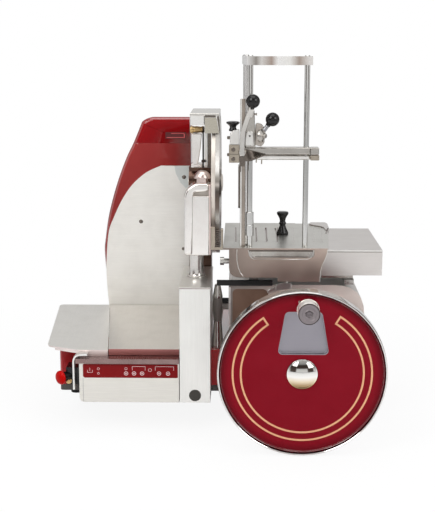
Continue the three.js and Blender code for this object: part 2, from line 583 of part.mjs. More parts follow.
// Sharpener: its body on the arm, the spindle with the stone, and the lever that brings it in
function makeSharpener() {
  const foot = axleZ + ARM.head + ARM.padRise + GAP;
  const left = -SHARPENER.left;
  const right = left + SHARPENER.width;
  const [front, back] = [-SHARPENER.front, SHARPENER.back];
  const spindleZ = axleZ + SPINDLE.rise;
  const profile = outline([
    [left + SHARPENER.taper, foot], [right - SHARPENER.taper, foot], [right, foot + SHARPENER.height],
    [left, foot + SHARPENER.height],
  ]);
  const lug = box(
    [left + SHARPENER.taper, left + SHARPENER.taper + SHARPENER.lugWidth], [front, back],
    [foot + SHARPENER.height - OVERRUN, foot + SHARPENER.height + SHARPENER.lugRise],
  );
  const bore = bar('x', SPINDLE.radius + GAP, left, right, [0, -SHARPENER.spindleFront, spindleZ]);
  const guideZ = foot + LEVER_ROD.guideRise;
  const guide = box(
    [right - SHARPENER.width / 2, -LEVER_ROD.left + LEVER_ROD.guideHalf],
    [-LEVER_ROD.front - LEVER_ROD.guideHalf, -LEVER_ROD.front + LEVER_ROD.guideHalf],
    [guideZ, guideZ + LEVER_ROD.guideHeight],
  );
  const rodWay = bar('z', LEVER_ROD.radius + GAP, foot, foot + LEVER_ROD.length, [-LEVER_ROD.left, -LEVER_ROD.front, 0], ROUND.small);
  const body = slab('y', profile, front, back).add(lug).add(guide);
  place('sharpener_body', body.subtract(bore).subtract(rodWay), PAINT.steel);

  const stoneRight = bladeLeft - SPINDLE.stoneGap;
  const stoneLeft = stoneRight - SPINDLE.stoneWidth;
  place('grinding_spindle', turned('x', [
    [0, -SPINDLE.left], [SPINDLE.radius, -SPINDLE.left], [SPINDLE.radius, right], [SPINDLE.thin, right],
    [SPINDLE.thin, stoneLeft], [SPINDLE.stone, stoneLeft], [SPINDLE.stone, stoneRight], [0, stoneRight],
  ], [0, -SHARPENER.spindleFront, spindleZ]), PAINT.brass);

  const rod = bar('z', LEVER_ROD.radius, foot, foot + LEVER_ROD.length, [-LEVER_ROD.left, -LEVER_ROD.front, 0], ROUND.small);
  const linkZ = foot + LEVER_ROD.linkRise;
  const link = box(
    [-LEVER_ROD.left - LEVER_ROD.radius, -LEVER_ROD.left + LEVER_ROD.linkReach],
    [-LEVER_ROD.front - LEVER_ROD.radius, -LEVER_ROD.front + LEVER_ROD.radius], [linkZ, linkZ + LEVER_ROD.linkHeight],
  );
  place('sharpener_lever', rod.add(link), PAINT.dark);
}

// Crank wheel with its dished disc, hub cap, pocket and folding crank
function makeWheel() {
  const wheel = new THREE.Group();
  wheel.position.set(WHEEL.x, 0, wheelZ);
  model.add(wheel);
  const [r, depth, bore] = [WHEEL.radius, WHEEL.depth, SHAFT.radius + GAP];
  const [rim, crown, dish, disc] = [WHEEL.rim, WHEEL.crown, WHEEL.dish, WHEEL.disc];
  const backFace = dish + disc;
  const pocketHole = pocketOutline(0);
  const body = turned('y', [
    [bore, dish], [r - rim, dish], [r - rim, crown], [r - rim + crown, 0], [r - 2 * crown, 0], [r, 2 * crown],
    [r, depth - 2 * crown], [r - 2 * crown, depth], [r - rim, depth], [r - rim, backFace], [WHEEL.hub, backFace],
    [WHEEL.hub, depth], [bore, depth],
  ], [0, wheelFront, 0], ROUND.large);
  const hole = slab('y', pocketHole, discFront - OVERRUN, discFront + disc + OVERRUN);
  place('flywheel', body.subtract(hole), PAINT.red, wheel);

  const capBack = discFront - GAP;
  place('hub_cap', turned('y', [
    ...CAP_SHARES.map(([out, rise]) => [HUB_CAP.radius * out, -HUB_CAP.bulge * rise]),
    [HUB_CAP.radius, -HUB_CAP.brim], [HUB_CAP.radius, 0], [0, 0],
  ], [0, capBack, 0]), PAINT.chrome, wheel);

  const half = MAIN_GEAR.width / 2;
  const gear = slab('y', toothed(MAIN_GEAR.radius - GAP, MAIN_GEAR.teeth, MAIN_GEAR.tooth), crossY - half, crossY + half);
  const shaft = bar('y', SHAFT.radius, discFront + GAP, SHAFT.tail, [0, 0, 0]);
  place('main_shaft', shaft.add(gear), PAINT.steel, wheel);

  const cupBack = discFront + POCKET.depth;
  const flangeFront = discFront - GAP - POCKET.flange;
  const cup = slab('y', pocketOutline(GAP), flangeFront, cupBack)
    .subtract(slab('y', pocketOutline(POCKET.wall), flangeFront - OVERRUN, cupBack - POCKET.wall));
  const [flangeLeft, flangeRight] = [HINGE.shift - POCKET.flangeHalf, HINGE.shift + POCKET.flangeHalf];
  const flangeBottom = POCKET.top - POCKET.wall + GAP;
  const flange = slab('y', rounded([
    [flangeLeft, flangeBottom], [flangeRight, flangeBottom], [flangeRight, POCKET.flangeTop, POCKET.corner],
    [flangeLeft, POCKET.flangeTop, POCKET.corner],
  ]), flangeFront, discFront - GAP);
  let pocket = cup.add(flange);
  const earInner = HINGE.halfWidth + GAP;
  for (const side of [-1, 1]) {
    const x = [earInner, earInner + HINGE.ear].map((reach) => HINGE.shift + side * reach).sort((a, b) => a - b);
    const ear = box(
      x, [hingeY - HINGE.earReach, discFront - GAP], [HINGE.rise - HINGE.earReach, HINGE.rise + HINGE.earReach],
    );
    const pinHole = bar('x', HINGE.pin + GAP, x[0] - OVERRUN, x[1] + OVERRUN, [0, hingeY, HINGE.rise], ROUND.small);
    pocket = pocket.add(ear).subtract(pinHole);
  }
  place('handle_pocket', pocket, PAINT.steel, wheel);

  const gripBack = hingeY - HINGE.grip;
  const gripFront = gripBack - GRIP.length;
  const pinHalf = earInner + HINGE.ear;
  const middle = HINGE.shift;
  const knuckle = bar('x', HINGE.knuckle, middle - HINGE.halfWidth, middle + HINGE.halfWidth, [0, hingeY, HINGE.rise])
    .add(bar('x', HINGE.pin, middle - pinHalf, middle + pinHalf, [0, hingeY, HINGE.rise], ROUND.small))
    .add(bar('y', GRIP.spindle, gripFront - GAP, hingeY, [middle, 0, HINGE.rise]))
    .add(bar('y', HINGE.plateRadius, gripBack + GAP, gripBack + GAP + HINGE.plate, [middle, 0, HINGE.rise]));
  place('handle_pivot', knuckle, PAINT.steel, wheel);

  const hollow = GRIP.spindle + GAP;
  place('crank_grip', turned('y', [
    [hollow, gripFront], [GRIP.waist, gripFront], [GRIP.radius, gripFront + GRIP.groove / 2],
    [GRIP.radius, gripFront + GRIP.groove], [GRIP.waist, gripFront + GRIP.groove * 1.25],
    [GRIP.radius, gripFront + GRIP.groove * 1.5], [GRIP.radius, gripBack - GRIP.groove], [GRIP.waist, gripBack],
    [hollow, gripBack],
  ], [middle, 0, HINGE.rise]), PAINT.chrome, wheel);
}

// The pocket's outline on the wheel, drawn in by a margin
function pocketOutline(margin) {
  const [top, bottom] = [POCKET.top - margin, POCKET.bottom + margin];
  const [topHalf, bottomHalf] = [POCKET.topHalf - margin, POCKET.bottomHalf - margin];
  const { shift, corner } = POCKET;
  return rounded([
    [shift - bottomHalf, bottom, corner], [shift + bottomHalf, bottom, corner], [shift + topHalf, top, corner],
    [shift - topHalf, top, corner],
  ]);
}

// What carries and drives the shafts: bearing tube, rear bearing, cross shaft and motor
function makeDrive() {
  const [inner, start, end] = [SHAFT.radius + GAP, wheelBack + GAP, -BASE.front - GAP];
  place('shaft_tube', turned('y', [
    [inner, start], [TUBE.radius, start], [TUBE.radius, end - TUBE.flangeDepth], [TUBE.flange, end - TUBE.flangeDepth],
    [TUBE.flange, end], [inner, end],
  ], [WHEEL.x, 0, wheelZ]), PAINT.cast);

  const block = box(
    [WHEEL.x - REAR_BEARING.halfWidth, WHEEL.x + REAR_BEARING.halfWidth],
    [REAR_BEARING.y, REAR_BEARING.y + REAR_BEARING.depth], [onDeck, wheelZ + REAR_BEARING.above],
  );
  const open = box([WHEEL.x - inner, WHEEL.x + inner], [REAR_BEARING.y - OVERRUN, REAR_BEARING.y + REAR_BEARING.depth + OVERRUN],
    [onDeck - OVERRUN, wheelZ]);
  const hole = bar('y', inner, REAR_BEARING.y - OVERRUN, REAR_BEARING.y + REAR_BEARING.depth + OVERRUN, [WHEEL.x, 0, wheelZ]);
  place('rear_bearing', block.subtract(hole).subtract(open), PAINT.bronze);

  const half = CROSS.gearWidth / 2;
  const gear = slab('x', toothed(CROSS.gear - GAP, CROSS.gearTeeth, MAIN_GEAR.tooth, crossY, crossZ), WHEEL.x - half, WHEEL.x + half);
  const shaft = bar('x', CROSS.radius, -CROSS.left, CROSS.right, [0, crossY, crossZ]);
  const sprocketHalf = BLADE_SPROCKET.width / 2;
  const sprocket = slab(
    'x', toothed(CROSS.sprocket, CROSS.sprocketTeeth, BLADE_SPROCKET.tooth, crossY, crossZ),
    armMiddle - sprocketHalf, armMiddle + sprocketHalf,
  );
  place('cross_shaft', shaft.add(gear).add(sprocket), PAINT.gear);

  const motorZ = baseBottom + motorRadius;
  place('blade_motor', turned('x', [
    [0, -BLADE_MOTOR.length], [motorRadius, -BLADE_MOTOR.length], [motorRadius, 0],
    [BLADE_MOTOR.nose, 0], [BLADE_MOTOR.nose, BLADE_MOTOR.noseLength], [0, BLADE_MOTOR.noseLength],
  ], [-BLADE_MOTOR.right, BLADE_MOTOR.y, motorZ]), PAINT.dark);
}

// Housing under the carriage with its rails, and the pinion that moves the carriage
function makeHousing() {
  const [left, right, wall] = [HOUSING.left, HOUSING.right, HOUSING.wall];
  const profile = (inset) => rounded([
    [left + inset, onDeck - (inset ? OVERRUN : 0)], [right - inset, onDeck - (inset ? OVERRUN : 0)],
    [right - inset, housingTop - inset, HOUSING.shoulder - inset], [left + inset, housingTop - inset, inset || wall],
  ]);
  const y = [-BASE.front, BASE.back];
  let shell = slab('y', profile(0), ...y).subtract(slab('y', profile(wall), y[0] + wall, y[1] - wall));
  const lugs = [PINION.x - PINION.lugGap - PINION.lug, PINION.x + PINION.lugGap];
  for (const x of lugs) {
    shell = shell.add(box(
      [x, x + PINION.lug], [pinionY - PINION.lugDrop, pinionY + PINION.lugDrop],
      [pinionZ - PINION.lugDrop, housingTop - wall + OVERRUN],
    ));
  }
  const inner = SHAFT.radius + GAP;
  const notch = box([WHEEL.x - inner, WHEEL.x + inner], [y[0] - OVERRUN, y[0] + wall + OVERRUN], [deck, wheelZ])
    .add(bar('y', inner, y[0] - OVERRUN, y[0] + wall + OVERRUN, [WHEEL.x, 0, wheelZ]));
  const reach = PINION.radius + OVERRUN;
  const slot = box(
    [PINION.x - PINION.lugGap, PINION.x + PINION.lugGap], [pinionY - reach, pinionY + reach],
    [housingTop - wall - OVERRUN, housingTop + OVERRUN],
  );
  const axleHole = bar('x', PINION.shaft + GAP, lugs[0] - OVERRUN, lugs[1] + PINION.lug + OVERRUN, [0, pinionY, pinionZ]);
  const stayX = left - STAY.reach;
  const post = turned('z', [
    [0, 0], [STAY.foot, 0], [STAY.foot, STAY.footHeight], [STAY.waist, STAY.waistRise], [STAY.foot, STAY.barRise - STAY.bar],
    [STAY.foot, STAY.barRise + STAY.bar], [STAY.head, STAY.headRise], [STAY.tip, STAY.height], [0, STAY.height],
  ], [stayX, -STAY.front, onDeck]);
  const arm = bar('x', STAY.bar, stayX, left + wall / 2, [0, -STAY.front, onDeck + STAY.barRise]);
  place('slide_housing', shell.subtract(notch).subtract(slot).subtract(axleHole).add(post).add(arm), PAINT.cast);

  for (const [name, x] of [['rail_left', RAIL.leftX], ['rail_right', RAIL.rightX]]) {
    const rail = box(
      [x - RAIL.width / 2, x + RAIL.width / 2], [y[0] + RAIL.inset, y[1] - RAIL.inset], [housingTop + GAP, railTop],
    );
    place(name, rail, PAINT.steel);
  }

  const half = PINION.width / 2;
  const teeth = toothed(PINION.radius, PINION.teeth, PINION.tooth, pinionY, pinionZ);
  const pinion = slab('x', teeth, PINION.x - half, PINION.x + half)
    .add(bar('x', PINION.shaft, lugs[0], lugs[1] + PINION.lug, [0, pinionY, pinionZ]));
  place('carriage_pinion', pinion, PAINT.gear);
  const motorLeft = lugs[1] + PINION.lug + GAP;
  const motor = bar('x', GEAR_MOTOR.radius, motorLeft, motorLeft + GEAR_MOTOR.length, [0, pinionY, pinionZ]);
  place('carriage_motor', motor, PAINT.dark);
}

// Carriage: a box open below, with its two slide shoes, rack and front lip
function makeCarriage() {
  const wall = CARRIAGE.wall;
  const [x, y] = [[CARRIAGE.left, CARRIAGE.right], [-CARRIAGE.front, CARRIAGE.back]];
  const [bottom, top] = [carriageBottom, carriageTop];
  const hollow = box([x[0] + wall, x[1] - wall], [y[0] + wall, y[1] - wall], [bottom - OVERRUN, top - wall]);
  const lip = box(
    [CARRIAGE.lipLeft, CARRIAGE.lipRight], [y[0], y[0] + wall], [bottom - CARRIAGE.lipDrop, bottom + OVERRUN],
  );
  let body = box(x, y, [bottom, top]).subtract(hollow).add(lip);
  for (const centre of [RAIL.leftX, RAIL.rightX]) {
    body = body.add(box(
      [centre - CARRIAGE.shoeWidth / 2, centre + CARRIAGE.shoeWidth / 2], [-CARRIAGE.shoeFront, CARRIAGE.shoeBack],
      [onRail, top - wall + OVERRUN],
    ));
  }
  const rackHalf = CARRIAGE.rackWidth / 2;
  const rack = box(
    [PINION.x - rackHalf, PINION.x + rackHalf], [-CARRIAGE.rackFront, CARRIAGE.rackBack],
    [onRail + 2 * GAP, top - wall + OVERRUN],
  );
  const screwWay = bar('x', FEED.screw + GAP, x[0] - OVERRUN, x[1] - wall, [0, feedY, feedZ]);
  const neckWay = box(
    [FEED.nutLeft - FEED.play, FEED.nutLeft + FEED.nutWidth + FEED.travel + FEED.play],
    [feedY - FEED.neck - FEED.play, feedY + FEED.neck + FEED.play], [top - wall - OVERRUN, top + OVERRUN],
  );
  const nutWay = box(
    [PINION.x - rackHalf - OVERRUN, PINION.x + rackHalf + OVERRUN],
    [feedY - FEED.nutHalf - FEED.play, feedY + FEED.nutHalf + FEED.play],
    [feedZ - FEED.nutHalf - FEED.play, top - wall],
  );
  place('carriage', body.add(rack.subtract(nutWay)).subtract(screwWay).subtract(neckWay), PAINT.brushed);
}

// Meat table with its front apron, the nut of the feed screw, the fence, and the screw with its dial
function makeTable() {
  const front = -TABLE.front - TABLE.apronThickness + GAP;
  const top = rounded([
    [TABLE.left, front], [TABLE.rightFront, front], [TABLE.rightBack, TABLE.back, TABLE.rearCorner],
    [TABLE.notchRight, TABLE.back], [TABLE.notchRight, TABLE.back - TABLE.notchDepth],
    [TABLE.notchLeft, TABLE.back - TABLE.notchDepth], [TABLE.notchLeft, TABLE.back], [TABLE.left, TABLE.back],
  ]);
  let plate = slab('z', top, tableBottom, tableTop);
  for (let i = 0; i < GROOVE.count; i += 1) {
    const x = GROOVE.first + i * GROOVE.pitch;
    plate = plate.subtract(box([x, x + GROOVE.width], [-GROOVE.front, GROOVE.back], [tableBottom - OVERRUN, tableTop + OVERRUN]));
  }
  const [apronBottom, tabBottom] = [tableBottom - TABLE.apronDrop, tableBottom - TABLE.tabDrop];
  const apron = rounded([
    [TABLE.apronLeft, apronBottom, TABLE.apronCorner], [TABLE.tabLeft, apronBottom],
    [TABLE.tabLeft, tabBottom], [TABLE.tabRight, tabBottom],
    [TABLE.tabRight + TABLE.frontStep, apronBottom + TABLE.slotDepth, TABLE.apronCorner],
    [TABLE.rightFront, tableBottom + OVERRUN], [TABLE.slotRight, tableBottom + OVERRUN],
    [TABLE.slotRight, tableBottom - TABLE.slotDepth, TABLE.slotCorner],
    [TABLE.slotLeft, tableBottom - TABLE.slotDepth, TABLE.slotCorner], [TABLE.slotLeft, tableBottom + OVERRUN],
    [TABLE.apronLeft, tableBottom + OVERRUN],
  ]);
  const rib = box(
    [TABLE.apronLeft, TABLE.rightFront], [TABLE.ribY, TABLE.ribY + TABLE.ribThickness],
    [tableBottom - TABLE.ribHeight, tableBottom + OVERRUN],
  );
  const nutBlock = box(
    [FEED.nutLeft, FEED.nutLeft + FEED.nutWidth], [feedY - FEED.nutHalf, feedY + FEED.nutHalf],
    [feedZ - FEED.nutHalf, feedZ + FEED.nutHalf],
  );
  const neck = box(
    [FEED.nutLeft, FEED.nutLeft + FEED.nutWidth], [feedY - FEED.neck, feedY + FEED.neck],
    [feedZ, tableBottom + OVERRUN],
  );
  const bore = bar('x', FEED.screw + GAP, FEED.nutLeft - OVERRUN, FEED.nutLeft + FEED.nutWidth + OVERRUN, [0, feedY, feedZ]);
  const table = plate.add(slab('y', apron, front, front + TABLE.apronThickness)).add(rib)
    .add(nutBlock.add(neck).subtract(bore));
  place('meat_table', table, PAINT.brushed);

  const fence = box([FENCE.left, FENCE.left + FENCE.thickness], [-FENCE.front, FENCE.back], [onTable, onTable + FENCE.height])
    .add(box([FENCE.left, FENCE.left + FENCE.foot], [-FENCE.front, FENCE.back], [onTable, onTable + FENCE.thickness]));
  const rearWay = bar('z', ROD.radius + GAP, tableTop, onTable + FENCE.height + OVERRUN, [ROD.rearX, -ROD.rearFront, 0]);
  place('meat_fence', fence.subtract(rearWay), PAINT.steel);

  const dialRight = FEED.dialLeft + FEED.dialWidth;
  place('feed_screw', turned('x', [
    [0, FEED.dialLeft], [FEED.dial, FEED.dialLeft], [FEED.dial, dialRight], [FEED.screw, dialRight],
    [FEED.screw, CARRIAGE.right - CARRIAGE.wall - GAP], [0, CARRIAGE.right - CARRIAGE.wall - GAP],
  ], [0, feedY, feedZ]), PAINT.gear);

  place('table_knob', turned('z', [
    [0, 0], [TABLE_KNOB.foot, 0], [TABLE_KNOB.foot, TABLE_KNOB.height * KNOB_SHARES.foot],
    ...KNOB_SHARES.waist.map((rise) => [TABLE_KNOB.waist, TABLE_KNOB.height * rise]),
    ...KNOB_SHARES.ring.map((rise) => [TABLE_KNOB.ring, TABLE_KNOB.height * rise]),
    ...KNOB_SHARES.neck.map((rise) => [TABLE_KNOB.waist, TABLE_KNOB.height * rise]),
    ...KNOB_SHARES.top.map((rise) => [TABLE_KNOB.top, TABLE_KNOB.height * rise]),
    [TABLE_KNOB.ring, TABLE_KNOB.height], [0, TABLE_KNOB.height],
  ], [TABLE_KNOB.x, -TABLE_KNOB.front, onTable], ROUND.small), PAINT.black);
}

// Uprights and top bar of the product press
function makePressFrame() {
  const posts = { rod_left: [ROD.leftX, rodY], rod_right: [ROD.rightX, rodY] };
  const half = TOP_BAR.half;
  let top = box([ROD.leftX - half, ROD.rightX + TOP_BAR.rightReach], [rodY - half, rodY + half], [barBottom, barTop])
    .add(slab('z', outline([
      [ROD.rearX - half, -ROD.rearFront + half], [ROD.leftX - half, rodY - half], [ROD.leftX + half, rodY - half],
      [ROD.rearX + half, -ROD.rearFront + half],
    ]), barBottom, barTop));
  for (const [name, [x, y]] of Object.entries(posts)) {
    top = top.subtract(bar('z', ROD.radius + GAP, barBottom - OVERRUN, barTop + OVERRUN, [x, y, 0]));
    let rod = bar('z', ROD.radius, onTable, rodTop, [x, y, 0], ROUND.small);
    if (name === 'rod_left') {
      const bottom = onTable + COLLAR.bottom;
      rod = rod.add(bar('z', COLLAR.radius, bottom, bottom + COLLAR.height, [x, y, 0], ROUND.small));
    }
    place(name, rod, PAINT.steel);
  }
  const rearLeg = bar('z', ROD.radius, onTable, rodTop, [ROD.rearX, -ROD.rearFront, 0], ROUND.small);
  place('top_bar', top.add(rearLeg), PAINT.steel);
}

// Arm that slides on the uprights, with its toothed plate, levers and knobs
function makePressArm() {
  const y = [-PRESS.front, -PRESS.back];
  const toothBottom = pressBottom - PRESS.toothDrop;
  const [toothTop, toothStep] = [pressTop + PRESS.toothHeight, pressTop + PRESS.toothStep];
  const bars = box([PRESS.left, PRESS.right], [y[0], y[0] + PRESS.bar], [pressBottom + PRESS.split, pressTop])
    .add(box([PRESS.left, PRESS.right], [y[1] - PRESS.bar, y[1]], [pressBottom, pressBottom + PRESS.split]));
  const leftBlock = box([PRESS.left, PRESS.left + PRESS.leftBlock], y, [pressBottom, pressTop]);
  const rightBlock = box([PRESS.right - PRESS.rightBlock, PRESS.right], y, [pressBottom, pressTop]);
  const middle = (PRESS.towerLeft + PRESS.towerRight) / 2;
  const tower = slab('y', outline([
    [PRESS.towerLeft, pressTop - OVERRUN], [PRESS.towerRight, pressTop - OVERRUN],
    [middle + PRESS.towerTopHalf, towerTop], [middle - PRESS.towerTopHalf, towerTop],
  ]), rodY - PRESS.towerHalf, rodY + PRESS.towerHalf);
  const toothBlock = slab('y', outline([
    [PRESS.toothLeft, toothBottom], [PRESS.left + OVERRUN, toothBottom],
    [PRESS.left + OVERRUN, toothStep], [PRESS.toothNeck, toothStep], [PRESS.toothNeck, toothTop],
    [PRESS.toothLeft, toothTop],
  ]), -PRESS.toothFront, -PRESS.toothBack);
  const clampZ = pressTop + CLAMP.rise;
  const clampLug = box(
    [PRESS.towerRight - PRESS.towerTopHalf, CLAMP.x + CLAMP.pin], [rodY, rodY + PRESS.towerHalf],
    [pressTop - OVERRUN, clampZ + CLAMP.pin],
  );
  let arm = bars.add(leftBlock).add(rightBlock).add(tower).add(toothBlock).add(clampLug);
  for (const x of [ROD.leftX, ROD.rightX]) {
    arm = arm.subtract(bar('z', ROD.radius + GAP, pressBottom - OVERRUN, towerTop + OVERRUN, [x, rodY, 0], ROUND.small));
  }
  const clampPin = bar('y', CLAMP.pin, rodY - CLAMP.hubWidth, rodY, [CLAMP.x, 0, clampZ], ROUND.small);
  const releasePin = bar('y', RELEASE.pin, -RELEASE.front, y[0] + OVERRUN, [RELEASE.x, 0, pressTop - RELEASE.boss], ROUND.small);
  place('press_arm', arm.add(clampPin).add(releasePin), PAINT.steel);

  const plateLeft = PRESS_PLATE.left;
  const plateTop = toothBottom - GAP;
  const plateBottom = plateTop - PRESS_PLATE.height;
  const step = (PRESS_PLATE.front - PRESS_PLATE.back) / PRESS_PLATE.teeth;
  const edge = [];
  for (let i = 0; i < PRESS_PLATE.teeth; i += 1) {
    edge.push([-PRESS_PLATE.front + i * step, plateBottom + PRESS_PLATE.tooth]);
    edge.push([-PRESS_PLATE.front + (i + 0.5) * step, plateBottom]);
  }
  edge.push([-PRESS_PLATE.back, plateBottom + PRESS_PLATE.tooth]);
  const plate = outline([
    ...edge, [-PRESS_PLATE.back, plateTop - PRESS_PLATE.arm], [-PRESS_PLATE.front + step, plateTop - PRESS_PLATE.arm],
    [-PRESS_PLATE.front + step, plateTop], [-PRESS.toothFront, plateTop], [-PRESS.toothFront, plateTop - PRESS_PLATE.arm],
    [-PRESS_PLATE.front, plateTop - PRESS_PLATE.arm],
  ]);
  place('press_plate', slab('x', plate, plateLeft, plateLeft + PRESS_PLATE.thickness), PAINT.dark);

  const lever = (from, to, base, tip, leverY) => {
    const span = new THREE.Vector3(to[0] - from[0], 0, to[1] - from[1]);
    const geometry = new THREE.CylinderGeometry(tip, base, span.length(), ROUND.small);
    geometry.translate(0, span.length() / 2, 0);
    geometry.applyQuaternion(new THREE.Quaternion().setFromUnitVectors(new THREE.Vector3(0, 1, 0), span.normalize()));
    return solid(geometry.translate(from[0], leverY, from[1]));
  };
  const ball = (radius, x, ballY, z) => solid(new THREE.SphereGeometry(radius, ROUND.small, ROUND.small / 2).translate(x, ballY, z));
  const releaseZ = pressTop - RELEASE.boss;
  const releaseY = [-RELEASE.front, -PRESS.toothFront - GAP];
  const releaseMiddle = (releaseY[0] + releaseY[1]) / 2;
  const release = bar('y', RELEASE.boss, ...releaseY, [RELEASE.x, 0, releaseZ])
    .add(lever([RELEASE.x, releaseZ], [RELEASE.ballX, releaseZ + RELEASE.ballRise], RELEASE.stem, RELEASE.stem, releaseMiddle))
    .subtract(bar('y', RELEASE.pin + GAP, -RELEASE.front - OVERRUN, y[0], [RELEASE.x, 0, releaseZ], ROUND.small))
    .add(ball(RELEASE.ball, RELEASE.ballX, releaseMiddle, releaseZ + RELEASE.ballRise));
  place('release_lever', release, PAINT.black);

  const hubY = [rodY - CLAMP.hubWidth, rodY - GAP];
  const hubMiddle = (hubY[0] + hubY[1]) / 2;
  const clamp = bar('y', CLAMP.hub, ...hubY, [CLAMP.x, 0, clampZ])
    .add(lever([CLAMP.x, clampZ], [CLAMP.ballX, clampZ + CLAMP.ballRise], CLAMP.stem, CLAMP.stem, hubMiddle))
    .subtract(bar('y', CLAMP.pin + GAP, hubY[0] - OVERRUN, hubY[1] + OVERRUN, [CLAMP.x, 0, clampZ], ROUND.small))
    .add(ball(CLAMP.ball, CLAMP.ballX, hubMiddle, clampZ + CLAMP.ballRise));
  place('clamp_lever', clamp, PAINT.black);

  const knobY = -(PRESS.toothFront + PRESS.toothBack) / 2;
  place('clamp_knob', turned('z', [
    [0, 0], [CLAMP_KNOB.base, 0], [CLAMP_KNOB.neck, CLAMP_KNOB.height - CLAMP_KNOB.capHeight - CLAMP_KNOB.neck / 2],
    [CLAMP_KNOB.cap, CLAMP_KNOB.height - CLAMP_KNOB.capHeight], [CLAMP_KNOB.cap, CLAMP_KNOB.height - CLAMP_KNOB.capHeight / 2],
    [CLAMP_KNOB.base, CLAMP_KNOB.height], [0, CLAMP_KNOB.height],
  ], [CLAMP_KNOB.x, knobY, toothTop + GAP], ROUND.small), PAINT.black);
}

// Slice side: sloping trays, deflector plate, and the two-part cover over the drive
function makeSliceSide() {
  const trays = new THREE.Group();
  trays.position.set(0, -TRAY.front, trayFrontZ);
  trays.rotation.x = traySlope;
  model.add(trays);
  const run = (TRAY.front + TRAY.back) / Math.cos(traySlope);
  const inner = slab('z', outline([
    [-TRAY.leftFront, 0], [-TRAY.right, 0], [-TRAY.right, run], [-TRAY.leftBack, run],
  ]), -TRAY.thickness, 0);
  const lip = box([-TRAY.leftFront, -TRAY.right], [0, TRAY.thickness], [-TRAY.lip, 0]);
  place('inner_tray', inner.add(lip), PAINT.brushed, trays);

  const seam = TRAY.seam;
  const outer = slab('z', rounded([
    [-TRAY.outerFront, TRAY.shoulder, TRAY.corner], [-TRAY.noseLeft, -TRAY.noseReach],
    [-TRAY.leftFront - seam, -TRAY.noseReach], [-TRAY.leftFront - seam, 0], [-TRAY.leftBack - seam, run],
    [-TRAY.outerLeft, run, TRAY.corner],
  ]), -TRAY.thickness, 0);
  const outerLip = box(
    [-TRAY.noseLeft, -TRAY.leftFront - seam], [-TRAY.noseReach, TRAY.thickness - TRAY.noseReach], [-TRAY.lip, 0],
  );
  const lean = (TRAY.shoulder + TRAY.noseReach) / (TRAY.outerFront - TRAY.noseLeft);
  const sideEdge = (reach) => (reach - TRAY.noseLeft) * lean - TRAY.noseReach;
  const sideLip = slab('z', outline([
    [-TRAY.noseLeft, -TRAY.noseReach], [-TRAY.noseLeft, TRAY.thickness - TRAY.noseReach],
    [-TRAY.sideLipStart, sideEdge(TRAY.sideLipStart) + TRAY.thickness], [-TRAY.sideLipStart, sideEdge(TRAY.sideLipStart)],
  ]), -TRAY.sideLip, 0);
  place('outer_tray', outer.add(outerLip).add(sideLip), PAINT.brushed, trays);

  const reach = ([out, rise]) => [-out * REACH, onDeck + rise * COVER.height];
  const deflectorPoints = DEFLECTOR_SHARES.map(reach);
  const deflector = outline([
    ...deflectorPoints, [-DEFLECTOR.right, deflectorPoints.at(-1)[1]], [-DEFLECTOR.right, onDeck],
  ]);
  place('deflector_plate', slab('y', deflector, deflectorY, deflectorY + DEFLECTOR.thickness), PAINT.brushed);

  const side = COVER_SHARES.map(reach);
  const coverOutline = (inset, drop) => rounded([
    [side[0][0] + inset, onDeck - drop], ...side.slice(1).map(([x, z]) => [x + inset, z]),
    [side.at(-1)[0] + COVER.rounding, coverTop - inset, COVER.bevel], [-COVER.right + COVER.bevel * 2, coverTop - inset],
    [-COVER.right + COVER.bevel * 2, onDeck - drop],
  ]);
  const coverBack = coverFront + COVER.depth;
  const wall = COVER.wall;
  const trim = (low, high) => box([-BASE.left, -COVER.right], [coverFront, coverBack], [low, high]);
  const above = (drop) => slab('x', outline([
    [coverFront, coverTop - drop], [coverBack, coverTop - COVER.fall - drop], [coverBack, coverTop], [coverFront, coverTop],
  ]), -BASE.left, 0);
  const whole = slab('y', coverOutline(0, 2 * COVER.bevel), coverFront, coverBack, { bevel: COVER.bevel })
    .subtract(above(0));
  const hollow = slab('y', coverOutline(wall, 3 * COVER.bevel), coverFront + wall, coverBack - wall, { bevel: COVER.bevel })
    .subtract(above(wall))
    .intersect(trim(onDeck - OVERRUN, coverTop).subtract(box(
      [-COVER.right - wall, -COVER.right + OVERRUN], [coverFront, coverBack], [onDeck - 2 * OVERRUN, coverTop + OVERRUN],
    )));
  const shell = whole.subtract(hollow);
  place('drive_cover', shell.intersect(trim(onDeck, coverJoint)), PAINT.red);
  place('cover_cap', shell.intersect(trim(coverJoint + GAP, coverTop + OVERRUN)), PAINT.red);
}

